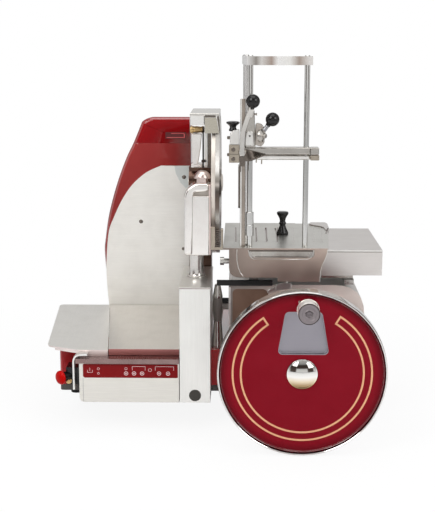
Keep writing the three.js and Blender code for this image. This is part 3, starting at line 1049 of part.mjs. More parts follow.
// Control box in front of the base, its panel, the hood over it, the tray's bracket and the stop button
function makeControls() {
  const [left, right] = [-CONTROL.left, columnLeft - COLUMN.lip - GAP];
  const [front, back] = [columnFront, -BASE.front - GAP];
  const top = deck - CONTROL.headGap;
  const shell = slab('y', rounded([
    [left, COLUMN.floor, CONTROL.corner], [right, COLUMN.floor], [right, top], [left, top],
  ]), front, back);
  const wall = CONTROL.wall;
  const hollow = slab('y', rounded([
    [left + wall, COLUMN.floor + wall, CONTROL.corner - wall], [right - wall, COLUMN.floor + wall],
    [right - wall, top - wall], [left + wall, top - wall],
  ]), front + wall, back + OVERRUN);
  place('control_box', shell.subtract(hollow), PAINT.steel);

  const panel = roundedBox([left + PANEL.leftMargin, right - PANEL.rightMargin], [top - PANEL.drop - PANEL.height, top - PANEL.drop], PANEL.corner);
  place('control_panel', slab('y', panel, front - GAP - PANEL.thickness, front - GAP), PAINT.red);

  const hoodBottom = top + GAP;
  const hoodTop = hoodBottom + HOOD.thickness;
  const hoodLeft = left - HOOD.beyond;
  const hood = box([hoodLeft, right], [front - HOOD.overhang, back], [hoodBottom, hoodTop])
    .add(box([hoodLeft, right], [front - HOOD.overhang, front - HOOD.overhang + HOOD.lipThickness], [hoodTop - HOOD.lip, hoodTop]));
  place('panel_hood', hood, PAINT.dark);

  const bracketFront = -TRAY.front - TRAY.noseReach * Math.cos(traySlope) - BRACKET.width;
  const [bx, bz] = [hoodLeft - BRACKET.beyond, trayUnder(bracketFront)];
  const strap = new THREE.Shape();
  const { thickness, radius, reach, floor: bottom } = BRACKET;
  strap.moveTo(bx, bottom);
  strap.lineTo(bx + thickness, bottom);
  strap.lineTo(bx + thickness, bz - thickness - radius);
  strap.quadraticCurveTo(bx + thickness, bz - thickness, bx + thickness + radius, bz - thickness);
  strap.lineTo(bx + reach, bz - thickness);
  strap.lineTo(bx + reach, bz);
  strap.lineTo(bx + thickness + radius, bz);
  strap.quadraticCurveTo(bx, bz, bx, bz - thickness - radius);
  strap.closePath();
  place('tray_bracket', slab('y', strap, bracketFront, bracketFront + BRACKET.width), PAINT.steel);

  const stop = new THREE.Group();
  const blockLeft = left - GAP - STOP.width;
  const blockFront = front + STOP.setback;
  const stopPlace = [blockLeft - STOP.beyond, blockFront, STOP.floor + STOP.rise];
  stop.position.set(...stopPlace);
  stop.rotation.set(0, -Math.PI / 2, 0);
  stop.rotation.order = 'ZYX';
  stop.rotation.z = THREE.MathUtils.degToRad(STOP.turn);
  model.add(stop);
  const inner = STOP.stem + GAP;
  const collar = turned('z', [
    [0, -STOP.root], [STOP.collar, -STOP.root], [STOP.collar, STOP.collarLength - GAP],
    [inner, STOP.collarLength - GAP], [inner, GAP], [0, GAP],
  ], [0, 0, 0]).rotate([0, -90, STOP.turn]).translate(stopPlace);
  const housing = box(
    [blockLeft, left - GAP], [blockFront, blockFront + STOP.depth], [STOP.floor, STOP.floor + STOP.height],
  );
  const bore = turned('z', [
    [0, GAP], [inner, GAP], [inner, STOP.collarLength + OVERRUN], [0, STOP.collarLength + OVERRUN],
  ], [0, 0, 0]).rotate([0, -90, STOP.turn]).translate(stopPlace);
  place('stop_housing', housing.add(collar).subtract(bore), PAINT.black);
  const capBottom = STOP.collarLength + STOP.travel;
  place('stop_button', turned('z', [
    [0, STOP.travel + 2 * GAP], [STOP.stem, STOP.travel + 2 * GAP], [STOP.stem, capBottom],
    [STOP.cap, capBottom], [STOP.cap, capBottom + STOP.brim], [STOP.capTop, capBottom + STOP.shoulder],
    [0, capBottom + STOP.capHeight],
  ], [0, 0, 0]), PAINT.stop, stop);
}

makeBase();
makeColumn();
makeBlade();
makeGuards();
makeSharpener();
makeWheel();
makeDrive();
makeHousing();
makeCarriage();
makeTable();
makePressFrame();
makePressArm();
makeSliceSide();
makeControls();

export default model;
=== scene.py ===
"""Counter slicer with a hand wheel: its finishes, its fine meshes, the studio and the camera."""
import json
import logging
from dataclasses import dataclass, field
from enum import Enum
from math import cos, pi, radians, sin

import bmesh
import bpy
from mathutils import Matrix, Vector
from mathutils.geometry import interpolate_bezier


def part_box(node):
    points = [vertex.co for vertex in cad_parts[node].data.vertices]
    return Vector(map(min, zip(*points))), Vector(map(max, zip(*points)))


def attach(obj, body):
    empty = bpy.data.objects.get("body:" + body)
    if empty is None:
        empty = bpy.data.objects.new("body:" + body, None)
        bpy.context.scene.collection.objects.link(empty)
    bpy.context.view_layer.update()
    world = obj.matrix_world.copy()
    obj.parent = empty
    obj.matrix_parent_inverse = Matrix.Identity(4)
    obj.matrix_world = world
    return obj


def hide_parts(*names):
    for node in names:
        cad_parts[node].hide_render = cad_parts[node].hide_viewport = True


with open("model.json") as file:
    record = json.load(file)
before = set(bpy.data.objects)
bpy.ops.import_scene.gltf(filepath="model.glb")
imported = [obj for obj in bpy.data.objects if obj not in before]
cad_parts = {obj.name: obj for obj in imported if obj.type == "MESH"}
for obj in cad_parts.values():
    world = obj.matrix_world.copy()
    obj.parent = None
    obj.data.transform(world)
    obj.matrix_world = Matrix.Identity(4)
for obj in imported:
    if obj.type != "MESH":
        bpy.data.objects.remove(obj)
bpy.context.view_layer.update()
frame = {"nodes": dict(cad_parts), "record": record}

MM = 0.001
Rgb = tuple[float, float, float]
Point2 = tuple[float, float]
Corner = tuple[float, ...]
Socket = bpy.types.NodeSocket
WHITE = (1.0, 1.0, 1.0, 1.0)
WELD = 1e-4
FACET = 0.5
GAP = 0.3
BLADE_AXIS = (0, 480)
log = logging.getLogger("slicer")


def tone(red: float, green: float, blue: float) -> Rgb:
    """Turns a colour as a screen shows it, 0 to 255, into light values.

    Args:
        red: Red part.
        green: Green part.
        blue: Blue part.

    Returns:
        The three linear values, 0 to 1.
    """
    values = [part / 255 for part in (red, green, blue)]
    linear = [v / 12.92 if v <= 0.04045 else ((v + 0.055) / 1.055) ** 2.4 for v in values]
    return linear[0], linear[1], linear[2]


class Axis(Enum):
    """One of the machine's three directions."""

    X = 0
    Y = 1
    Z = 2

    def point(self, along: float, first: float, second: float) -> Vector:
        """Gives a point from its place along this axis and its two places across it.

        Args:
            along: Place along the axis.
            first: Place along the first of the other two axes, in the order X, Y, Z.
            second: Place along the second of them.

        Returns:
            The point.
        """
        order = {Axis.X: (along, first, second), Axis.Y: (first, along, second),
                 Axis.Z: (first, second, along)}
        return Vector(order[self])

    @property
    def way(self) -> Vector:
        """The unit vector of this axis."""
        return self.point(1, 0, 0)


X, Y, Z = Axis


def hexagon(radius: float, start: float = 0, middle: Point2 = (0, 0)) -> list[Point2]:
    """Gives the corners of a hexagon.

    Args:
        radius: Distance of its corners from its middle.
        start: Turn of the first corner, in degrees.
        middle: Its middle.

    Returns:
        The corners.
    """
    turns = [radians(start + 60 * i) for i in range(6)]
    return [(middle[0] + radius * cos(turn), middle[1] + radius * sin(turn)) for turn in turns]


class Shape:
    """A mesh in the making, in millimetres, in the machine's own frame."""

    def __init__(self) -> None:
        """Starts with an empty mesh."""
        self.mesh = bmesh.new()
        self.mend = True

    def join(self, part: bmesh.types.BMesh) -> "Shape":
        """Adds another mesh to this one and lets that mesh go.

        Args:
            part: The mesh that is added.

        Returns:
            This shape.
        """
        carrier = bpy.data.meshes.new("carrier")
        part.to_mesh(carrier)
        part.free()
        self.mesh.from_mesh(carrier)
        bpy.data.meshes.remove(carrier)
        return self

    def add(self, other: "Shape") -> "Shape":
        """Adds another shape to this one."""
        return self.join(other.mesh)

    @staticmethod
    def soften(part: bmesh.types.BMesh, width: float, segments: int, angle: float = 30.0,
               clamp: bool = True) -> None:
        """Rounds every edge that turns by more than an angle.

        Args:
            part: The mesh.
            width: How far the rounding reaches from the edge.
            segments: Steps in the rounding.
            angle: The least turn of an edge that is rounded, in degrees.
            clamp: Whether the rounding is kept from growing past the shortest edge beside it.
        """
        if width <= 0:
            return
        edges = [e for e in part.edges if len(e.link_faces) == 2 and e.calc_face_angle(0) > radians(angle)]
        bmesh.ops.bevel(part, geom=edges, offset=width, segments=segments, profile=0.5, affect="EDGES",
                        clamp_overlap=clamp, material=-1)

    def block(self, low: Corner, high: Corner, edge: float = 0.0, segments: int = 3) -> "Shape":
        """Adds a block with rounded edges.

        Args:
            low: Its lowest corner.
            high: Its highest corner.
            edge: Rounding of its edges.
            segments: Steps in the rounding.

        Returns:
            This shape.
        """
        part = bmesh.new()
        low_corner, high_corner = Vector(low), Vector(high)
        size = high_corner - low_corner
        place = Matrix.Translation((low_corner + high_corner) / 2) @ Matrix.Diagonal((*size, 1.0))
        bmesh.ops.create_cube(part, size=1.0, matrix=place)
        self.soften(part, edge, segments)
        return self.join(part)

    def turn(self, axis: Axis, centre: Point2, profile: list[Point2], steps: int = 96, ring: bool = False,
             base: float = 0) -> "Shape":
        """Adds a turned piece.

        Args:
            axis: The axis of the lathe.
            centre: Where that axis stands, across it.
            profile: Radius and place along the axis, point by point.
            steps: Steps round the axis.
            ring: Whether the profile closes on itself instead of on the axis.
            base: Place along the axis that the profile is measured from.

        Returns:
            This shape.
        """
        part = bmesh.new()
        points = [part.verts.new(axis.point(base + along, centre[0] + radius, centre[1]))
                  for radius, along in profile]
        pairs = list(zip(points, points[1:])) + ([(points[-1], points[0])] if ring else [])
        edges = [part.edges.new(pair) for pair in pairs]
        bmesh.ops.spin(part, geom=points + edges, cent=axis.point(0, *centre), axis=axis.way, dvec=(0, 0, 0),
                       angle=2 * pi, steps=steps, use_merge=True, use_duplicate=False)
        bmesh.ops.remove_doubles(part, verts=part.verts, dist=WELD)
        return self.join(part)

    def slab(self, axis: Axis, outline: list[Corner], start: float, end: float, edge: float = 0.0,
             segments: int = 3, smooth: float = 30.0, clamp: bool = True) -> "Shape":
        """Adds a plate cut to an outline.

        Args:
            axis: The direction of its thickness.
            outline: Corners across that direction, each with an optional rounding.
            start: Where it starts along the axis.
            end: Where it ends.
            edge: Rounding of its edges.
            segments: Steps in that rounding.
            smooth: The least turn of an edge that is rounded, in degrees.
            clamp: Whether the rounding is kept from growing past the shortest edge beside it.

        Returns:
            This shape.
        """
        part = bmesh.new()
        corners = [part.verts.new(axis.point(start, c[0], c[1])) for c in outline]
        part.faces.new(corners)
        for corner, place in zip(corners, outline):
            if len(place) > 2 and place[2] > 0:
                bmesh.ops.bevel(part, geom=[corner], offset=place[2], segments=8, profile=0.5,
                                affect="VERTICES", clamp_overlap=False, material=-1)
        made = bmesh.ops.extrude_face_region(part, geom=part.faces[:])
        moved = [item for item in made["geom"] if isinstance(item, bmesh.types.BMVert)]
        bmesh.ops.translate(part, verts=moved, vec=axis.way * (end - start))
        bmesh.ops.recalc_face_normals(part, faces=part.faces)
        self.soften(part, edge, segments, smooth, clamp)
        return self.join(part)

    def rod(self, start: Corner, end: Corner, radius: float, far: float | None = None, edge: float = 0.0,
            sides: int = 40) -> "Shape":
        """Adds a round bar between two points.

        Args:
            start: One end.
            end: The other end.
            radius: Radius at the start.
            far: Radius at the end, the same where it isn't given.
            edge: Rounding of its two rims.
            sides: Sides round it.

        Returns:
            This shape.
        """
        part = bmesh.new()
        first, last = Vector(start), Vector(end)
        span = last - first
        place = Matrix.Translation((first + last) / 2) @ span.to_track_quat("Z", "Y").to_matrix().to_4x4()
        bmesh.ops.create_cone(part, cap_ends=True, segments=sides, radius1=radius,
                              radius2=radius if far is None else far, depth=span.length, matrix=place)
        self.soften(part, edge, 3, 50)
        return self.join(part)

    def ball(self, centre: Corner, radius: float, flat: float = 1.0, rings: int = 32) -> "Shape":
        """Adds a ball, or one that is squashed upwards.

        Args:
            centre: Its middle.
            radius: Its radius.
            flat: Its height as a share of its width.
            rings: Rings from pole to pole.

        Returns:
            This shape.
        """
        part = bmesh.new()
        place = Matrix.Translation(Vector(centre)) @ Matrix.Diagonal((1.0, 1.0, flat, 1.0))
        bmesh.ops.create_uvsphere(part, u_segments=2 * rings, v_segments=rings, radius=radius, matrix=place)
        return self.join(part)

    def copied(self, node: str, edge: float = 0.0, segments: int = 2, angle: float = 40.0) -> "Shape":
        """Adds a copy of one of the machine's solids, with its edges rounded.

        Args:
            node: The solid's name.
            edge: Rounding of its edges.
            segments: Steps in that rounding.
            angle: The least turn of an edge that is rounded, in degrees.

        Returns:
            This shape.
        """
        part = bmesh.new()
        part.from_mesh(frame["nodes"][node].data)
        bmesh.ops.remove_doubles(part, verts=part.verts, dist=WELD / 5)
        bmesh.ops.scale(part, vec=(1 / MM, 1 / MM, 1 / MM), verts=part.verts)
        bmesh.ops.dissolve_limit(part, angle_limit=radians(FACET), verts=part.verts, edges=part.edges)
        self.soften(part, edge, segments, angle)
        self.mend = False
        return self.join(part)

    def placed(self, matrix: Matrix) -> "Shape":
        """Moves and turns the whole shape."""
        bmesh.ops.transform(self.mesh, matrix=matrix, verts=self.mesh.verts)
        return self

    def carve(self, tool: "Shape") -> "Shape":
        """Cuts another shape out of this one.

        Args:
            tool: The shape that is cut away.

        Returns:
            This shape.
        """
        holders = []
        for shape in (self, tool):
            bmesh.ops.recalc_face_normals(shape.mesh, faces=shape.mesh.faces)
            data = bpy.data.meshes.new("cut")
            shape.mesh.to_mesh(data)
            holder = bpy.data.objects.new("cut", data)
            bpy.context.scene.collection.objects.link(holder)
            holders.append(holder)
        cut = holders[0].modifiers.new("cut", "BOOLEAN")
        cut.object, cut.operation, cut.solver = holders[1], "DIFFERENCE", "EXACT"
        view = bpy.context.evaluated_depsgraph_get()
        result = bpy.data.meshes.new_from_object(holders[0].evaluated_get(view))
        tool.mesh.free()
        self.mesh.clear()
        self.mesh.from_mesh(result)
        for holder in holders:
            data = holder.data
            bpy.data.objects.remove(holder)
            bpy.data.meshes.remove(data)
        bpy.data.meshes.remove(result)
        return self

    def finish(self, name: str, body: str, finish: "Finish", slot: str, *stands_for: str,
               smooth: float = 32.0, wall: float = 0.0) -> bpy.types.Object:
        """Makes the shape an object of the machine.

        Args:
            name: The piece's name.
            body: The moving body that it rides on.
            finish: Its finish.
            slot: The record's material slot that it takes its finish from.
            stands_for: The solids that it replaces.
            smooth: The turn, in degrees, past which an edge stays sharp.
            wall: Thickness that is given to an open shell, inwards.

        Returns:
            The object.
        """
        if self.mend:
            bmesh.ops.remove_doubles(self.mesh, verts=self.mesh.verts, dist=WELD)
            bmesh.ops.recalc_face_normals(self.mesh, faces=self.mesh.faces)
        bmesh.ops.scale(self.mesh, vec=(MM, MM, MM), verts=self.mesh.verts)
        data = bpy.data.meshes.new(name)
        self.mesh.to_mesh(data)
        self.mesh.free()
        data.shade_smooth()
        data.set_sharp_from_angle(angle=radians(smooth))
        piece = bpy.data.objects.new(name, data)
        bpy.context.scene.collection.objects.link(piece)
        data.materials.append(finish.material())
        if wall:
            shell = piece.modifiers.new("wall", "SOLIDIFY")
            shell.thickness, shell.offset = wall * MM, -1
        normals = piece.modifiers.new("normals", "WEIGHTED_NORMAL")
        normals.keep_sharp = True
        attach(piece, body)
        if stands_for:
            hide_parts(*stands_for)
        log.info("%s: %d faces", name, len(data.polygons))
        return piece


class Tree:
    """The nodes of a material or of the world."""

    def __init__(self, tree: bpy.types.NodeTree) -> None:
        """Takes a tree of nodes over.

        Args:
            tree: The tree.
        """
        self.tree = tree

    def node(self, kind: str, inputs: dict[str | int, object] | None = None,
             **settings: object) -> bpy.types.Node:
        """Adds a node.

        Args:
            kind: Blender's name of the node, without the words that all names start with.
            inputs: What each input is set to, or is fed by.
            settings: The node's own settings.

        Returns:
            The node.
        """
        made = self.tree.nodes.new(f"ShaderNode{kind}")
        for key, value in settings.items():
            setattr(made, key, value)
        for key, value in (inputs or {}).items():
            if isinstance(value, Socket):
                self.tree.links.new(value, made.inputs[key])
            else:
                made.inputs[key].default_value = value
        return made

    def math(self, kind: str, *values: float | Socket) -> Socket:
        """Adds one step of arithmetic."""
        return self.node("Math", dict(enumerate(values)), operation=kind).outputs[0]

    def parts(self, kind: str) -> bpy.types.NodeOutputs:
        """Gives the three parts of one of Blender's texture coordinates."""
        return self.node("SeparateXYZ", {0: self.node("TexCoord").outputs[kind]}).outputs

    def merge(self, share: float | Socket, first: Socket, second: Socket) -> Socket:
        """Merges two shaders by a share."""
        return self.node("MixShader", {0: share, 1: first, 2: second}).outputs[0]


class Graph(Tree):
    """The nodes of one material."""

    def __init__(self, name: str) -> None:
        """Starts a material with its shader.

        Args:
            name: The material's name.
        """
        self.material = bpy.data.materials.new(name)
        self.material.use_nodes = True
        super().__init__(self.material.node_tree)
        self.shader = self.tree.nodes["Principled BSDF"]
        self.object_place = self.node("TexCoord").outputs["Object"]

    def set(self, values: dict[str, object]) -> None:
        """Sets the shader's sockets."""
        for socket, value in values.items():
            self.shader.inputs[socket].default_value = value

    def feed(self, socket: str, source: Socket) -> None:
        """Feeds one of the shader's sockets."""
        self.tree.links.new(source, self.shader.inputs[socket])

    @property
    def painted(self) -> Socket:
        """What feeds the shader's colour so far."""
        return self.shader.inputs["Base Color"].links[0].from_socket

    def noise(self, size: float, stretch: Rgb = (1, 1, 1), detail: float = 3.0) -> Socket:
        """Adds a cloudy pattern on the object's own places.

        Args:
            size: The pattern's size, in millimetres.
            stretch: How many times longer it is along each axis.
            detail: How fine its smallest parts are.

        Returns:
            The pattern, 0 to 1.
        """
        scale = tuple(1 / (size * MM * part) for part in stretch)
        mapping = self.node("Mapping", {"Vector": self.object_place, "Scale": scale})
        inputs = {"Vector": mapping.outputs[0], "Scale": 1.0, "Detail": detail}
        return self.node("TexNoise", inputs).outputs[0]

    def spread(self, source: Socket, low: float, high: float, least: float = 0.3,
               most: float = 0.7) -> Socket:
        """Spreads a pattern over a range of values.

        Args:
            source: The pattern.
            low: What its low parts become.
            high: What its high parts become.
            least: The value that becomes low.
            most: The value that becomes high.

        Returns:
            The spread pattern.
        """
        return self.node(
            "MapRange", {"Value": source, "From Min": least, "From Max": most, "To Min": low, "To Max": high},
        ).outputs[0]

    def blend(self, share: Socket, first: Rgb | Socket, second: Rgb | Socket) -> Socket:
        """Blends two colours by a pattern."""
        colours = {6: first, 7: second}
        inputs = {k: c if isinstance(c, Socket) else (*c, 1.0) for k, c in colours.items()}
        return self.node("Mix", {0: share, **inputs}, data_type="RGBA").outputs[2]

    def bump(self, source: Socket, depth: float, strength: float = 1.0,
             under: Socket | None = None) -> Socket:
        """Adds a relief to the surface.

        Args:
            source: The pattern that is raised.
            depth: Its depth in millimetres.
            strength: How strong it shows.
            under: A relief that it lies on.

        Returns:
            The relief.
        """
        inputs = {"Height": source, "Distance": depth * MM, "Strength": strength}
        if under is not None:
            inputs["Normal"] = under
        return self.node("Bump", inputs).outputs[0]

    def radius(self, axis: Axis, centre: Corner) -> Socket:
        """Gives the distance from an axis through a point, in metres.

        Args:
            axis: The axis.
            centre: A point on it, in millimetres.

        Returns:
            The distance.
        """
        middle = tuple(part * MM for part in centre)
        across = tuple(0.0 if i == axis.value else 1.0 for i in range(3))
        away = self.node("VectorMath", {0: self.object_place, 1: middle}, operation="SUBTRACT").outputs[0]
        flat = self.node("VectorMath", {0: away, 1: across}, operation="MULTIPLY").outputs[0]
        return self.node("VectorMath", {0: flat}, operation="LENGTH").outputs["Value"]


@dataclass(frozen=True)
class Finish:
    """A finish: its plain colour and gloss, and a method that works the detail into it.

    Attributes:
        name: The material's name.
        colour: Its colour, in light values.
        gloss: Its roughness.
        metal: 1 for bare metal, 0 for paint and plastic.
        specular: Specular level of paint and plastic.
    """

    name: str
    colour: Rgb
    gloss: float = 0.4
    metal: float = 0.0
    specular: float = 0.5

    def material(self) -> bpy.types.Material:
        """Makes the material once, and gives the same one after that."""
        known = bpy.data.materials.get(self.name)
        if known:
            return known
        graph = Graph(self.name)
        graph.set({"Metallic": self.metal, "Roughness": self.gloss, "Specular IOR Level": self.specular,
                   "Coat Weight": 0.0, "Coat Roughness": 0.04, "Base Color": (*self.colour, 1.0)})
        graph.material.diffuse_color = (*self.colour, 1.0)
        self.work(graph)
        return graph.material

    def shade(self, share: float) -> Rgb:
        """Gives the colour made darker or lighter by a share."""
        return tuple(min(1.0, part * share) for part in self.colour)

    def work(self, graph: Graph) -> None:
        """Works a fine, uneven surface into the material."""
        cloud = graph.noise(14)
        graph.feed("Base Color", graph.blend(graph.spread(cloud, 0, 1), self.shade(0.9), self.shade(1.06)))
        graph.feed("Roughness", graph.spread(graph.noise(5), self.gloss - 0.05, self.gloss + 0.08))
        graph.feed("Normal", graph.bump(graph.noise(0.8), 0.02, 0.25))


@dataclass(frozen=True)
class Enamel(Finish):
    """Glossy baked enamel with a trace of orange peel.

    Attributes:
        deep: The colour in its darker clouds.
        glaze: Weight of the clear coat on faces that turn away from the front.
    """

    deep: Rgb = (0.1, 0.005, 0.01)
    glaze: float = 1.0

    def work(self, graph: Graph) -> None:
        """Adds slow clouds of colour, orange peel, and a clear coat that shows on the turned edges."""
        cloud = graph.spread(graph.noise(90, detail=4), 0, 1, 0.25, 0.75)
        graph.feed("Base Color", graph.blend(cloud, self.deep, self.colour))
        graph.feed("Roughness",
                   graph.spread(graph.noise(30, detail=6), self.gloss, self.gloss + 0.05, 0.4, 0.8))
        graph.set({"Coat IOR": 2.0})
        graph.feed("Coat Weight", graph.spread(graph.parts("Normal")[1], 0, self.glaze, -0.98, -0.7))
        peel = graph.bump(graph.noise(2.2, detail=1), 0.012, 0.35)
        graph.feed("Normal", graph.bump(graph.noise(60, detail=1), 0.12, 0.15, peel))


@dataclass(frozen=True)
class RimShadedEnamel(Enamel):
    """Enamel on a round disc, with painted shade that grows darker towards its rim.

    Attributes:
        axis: The disc's axis.
        centre: A point on it.
        start: Radius where it starts to darken.
        end: Radius where it is darkest.
        dark: Its share of brightness there.
    """

    axis: Axis = Y
    centre: Corner = (183, 0, 126)
    start: float = 156
    end: float = 171
    dark: float = 0.55

    def work(self, graph: Graph) -> None:
        """Adds the enamel's own detail, then the painted shade towards the rim."""
        super().work(graph)
        share = graph.spread(graph.radius(self.axis, self.centre), 0, 1, self.start * MM, self.end * MM)
        graph.feed("Base Color", graph.blend(share, graph.painted, self.shade(self.dark)))


@dataclass(frozen=True)
class Brushed(Finish):
    """Brushed or satin sheet, with its grain along one axis.

    Attributes:
        grain: The axis that the grain runs along.
        depth: How strongly the grain shows, 0 to 1.
        smudge: How strongly the handling marks show, 0 to 1.
    """

    metal: float = 1.0
    grain: Axis = X
    depth: float = 0.5
    smudge: float = 0.5

    def work(self, graph: Graph) -> None:
        """Adds the grain, the handling marks and slow changes of tone."""
        grain, streak = (
            graph.noise(size, tuple(length if axis is self.grain else 1.0 for axis in Axis), detail)
            for size, length, detail in ((0.45, 90.0, 2), (5, 40.0, 3)))
        marks = graph.spread(graph.noise(38, detail=5), 0, 1, 0.45, 0.72)
        dim, light = self.shade(1 - 0.16 * self.depth), self.shade(1 + 0.08 * self.depth)
        tint = graph.blend(graph.spread(grain, 0, 1), dim, light)
        tint = graph.blend(graph.spread(streak, 0, 0.5 * self.depth), tint, self.shade(0.86))
        smudges = graph.math("MULTIPLY", marks, 0.22 * self.smudge)
        graph.feed("Base Color", graph.blend(smudges, tint, self.shade(0.78)))
        rough = graph.spread(grain, self.gloss - 0.06 * self.depth, self.gloss + 0.08 * self.depth)
        graph.feed("Roughness", graph.math("ADD", rough, graph.math("MULTIPLY", marks, 0.09 * self.smudge)))
        relief = graph.bump(graph.noise(120, detail=1), 0.35, 0.12)
        graph.feed("Normal", graph.bump(grain, 0.006, 0.5 * self.depth, relief))


@dataclass(frozen=True)
class FrontShaded(Brushed):
    """Sheet or casting with painted shade and painted reflection of the warm paint round it on the faces that
    look to the front.

    Attributes:
        shaded: The painted shade and reflection colour of the faces that look to the front.
        edge: How squarely a face looks to the front before it takes that colour, from 0 to 1.
        dim: Places in X where the front's painted shade is deepest, and where it has its own colour again.
        dimmest: Its share of brightness there.
    """

    shaded: Rgb = (0.3, 0.2, 0.18)
    edge: float = 0.45
    dim: Point2 = (-1001, -1000)
    dimmest: float = 0.45

    def work(self, graph: Graph) -> None:
        """Adds the sheet's own detail, then the painted shade and reflection on its front."""
        super().work(graph)
        share = graph.spread(graph.parts("Normal")[1], 1, 0, -self.edge - 0.2, -self.edge)
        cloud = graph.spread(graph.noise(70, (1.6, 1, 0.8), 2), 0, 1, 0.35, 0.65)
        deeper, lighter, dimmest = (tuple(part * level for part in self.shaded)
                                    for level in (0.84, 1.1, self.dimmest))
        fade = graph.spread(graph.parts("Object")[0], 0, 1, self.dim[0] * MM, self.dim[1] * MM)
        shaded = graph.blend(fade, dimmest, graph.blend(cloud, deeper, lighter))
        graph.feed("Base Color", graph.blend(share, graph.painted, shaded))


@dataclass(frozen=True)
class ReflectionBanded(Finish):
    """Polished metal on a long curve, with painted reflections that turn dim and bright along an axis.

    Attributes:
        stops: Place along the axis in millimetres, and painted reflection colour, of each turn.
        side: Place in X up to which the metal keeps its own colour.
        along: The axis that the turns follow.
    """

    metal: float = 1.0
    stops: tuple[tuple[float, Rgb], ...] = ()
    side: float = -1000
    along: Axis = Z

    def work(self, graph: Graph) -> None:
        """Adds the painted bands of reflection and a fine, uneven surface."""
        places = graph.parts("Object")
        low, high = self.stops[0][0], self.stops[-1][0]
        height = graph.spread(places[self.along.value], 0, 1, low * MM, high * MM)
        ramp = graph.node("ValToRGB", {0: height})
        marks = ramp.color_ramp.elements
        marks[1].position = 1.0
        for i, (level, colour) in enumerate(self.stops):
            known = {0: 0, len(self.stops) - 1: -1}
            mark = marks[known[i]] if i in known else marks.new((level - low) / (high - low))
            mark.color = (*colour, 1.0)
        share = graph.spread(places[0], 0, 1, (self.side - 0.6) * MM, (self.side + 0.6) * MM)
        graph.feed("Base Color", graph.blend(share, self.colour, ramp.outputs[0]))
        graph.feed("Roughness", graph.spread(graph.noise(9, detail=4), self.gloss - 0.04, self.gloss + 0.08))
        graph.feed("Normal", graph.bump(graph.noise(1.2, detail=2), 0.006, 0.3))


@dataclass(frozen=True)
class Turned(Finish):
    """Metal with fine rings left by a lathe.

    Attributes:
        axis: The axis that the rings go round.
        centre: A point on that axis.
        pitch: Distance from ring to ring, in millimetres.
        depth: How strongly the rings show, 0 to 1.
    """

    metal: float = 1.0
    axis: Axis = Y
    centre: Corner = (0, 0, 0)
    pitch: float = 0.7
    depth: float = 0.5

    def work(self, graph: Graph) -> None:
        """Adds the rings and a few handling marks."""
        away = graph.math("MULTIPLY", graph.radius(self.axis, self.centre), 1 / (self.pitch * MM))
        along = graph.parts("Object")[self.axis.value]
        step = graph.math("ADD", away, graph.math("MULTIPLY", along, 1 / (self.pitch * MM)))
        inputs = {"W": step, "Scale": 1.0, "Detail": 2.0}
        rings = graph.node("TexNoise", inputs, noise_dimensions="1D").outputs[0]
        marks = graph.spread(graph.noise(22, detail=5), 0, 1, 0.45, 0.75)
        dim, light = self.shade(1 - 0.22 * self.depth), self.shade(1 + 0.06 * self.depth)
        tint = graph.blend(graph.spread(rings, 0, 1), dim, light)
        graph.feed("Base Color", graph.blend(graph.math("MULTIPLY", marks, 0.2), tint, self.shade(0.8)))
        graph.feed("Roughness",
                   graph.spread(rings, self.gloss - 0.04 * self.depth, self.gloss + 0.1 * self.depth))
        graph.feed("Normal", graph.bump(rings, 0.01, 0.5 * self.depth))


@dataclass(frozen=True)
class Polished(Finish):
    """Metal polished by hand, with slow waves and fine wiping marks.

    Attributes:
        wave: Depth of the waves in millimetres.
        marks: How strongly the wiping marks show, 0 to 1.
        stain: The colour in its dimmer places.
    """

    metal: float = 1.0
    wave: float = 0.3
    marks: float = 0.5
    stain: Rgb = (0.5, 0.42, 0.36)

    def work(self, graph: Graph) -> None:
        """Adds waves, wiping marks and dimmer places."""
        wipe = graph.noise(1.4, (1, 14, 3), 2)
        cloud = graph.spread(graph.noise(26, detail=4), 0, 1, 0.4, 0.75)
        graph.feed("Base Color", graph.blend(graph.math("MULTIPLY", cloud, 0.35), self.colour, self.stain))
        rough = graph.spread(wipe, self.gloss - 0.03 * self.marks, self.gloss + 0.07 * self.marks)
        graph.feed("Roughness", graph.math("ADD", rough, graph.math("MULTIPLY", cloud, 0.05 * self.marks)))
        slow = graph.bump(graph.noise(45, detail=1), self.wave, 0.35)
        graph.feed("Normal", graph.bump(wipe, 0.004, 0.3 * self.marks, slow))


@dataclass(frozen=True)
class Moulded(Finish):
    """Plastic or rubber, with a fine skin and scuffs.

    Attributes:
        skin: Size of the skin's grain in millimetres.
    """

    skin: float = 0.6

    def work(self, graph: Graph) -> None:
        """Adds the skin, scuffs and dust."""
        scuff = graph.spread(graph.noise(7, detail=8), 0, 1, 0.55, 0.75)
        graph.feed("Base Color",
                   graph.blend(graph.math("MULTIPLY", scuff, 0.18), self.colour, self.shade(2.2)))
        graph.feed("Roughness", graph.math("ADD", self.gloss, graph.math("MULTIPLY", scuff, 0.16)))
        graph.feed("Normal", graph.bump(graph.noise(self.skin, detail=2), 0.01, 0.3))


# Painted reflections for the guard ring and the blade: dim and bright bands by height.
PAINTED_REFLECTION_BANDS: tuple[tuple[float, Rgb], ...] = (
    (300, tone(120, 108, 98)), (350, tone(104, 92, 82)), (377, tone(122, 102, 92)),
    (386, tone(142, 126, 116)), (393, tone(184, 176, 168)), (404, tone(200, 196, 190)),
    (418, tone(186, 184, 178)), (432, tone(132, 124, 116)), (442, tone(100, 86, 78)), (462, tone(82, 68, 58)),
    (480, tone(66, 58, 52)), (488, tone(112, 106, 98)), (495, tone(186, 178, 170)),
    (502, tone(134, 128, 120)), (511, tone(146, 140, 132)), (526, tone(206, 203, 198)),
    (640, tone(150, 146, 140)))


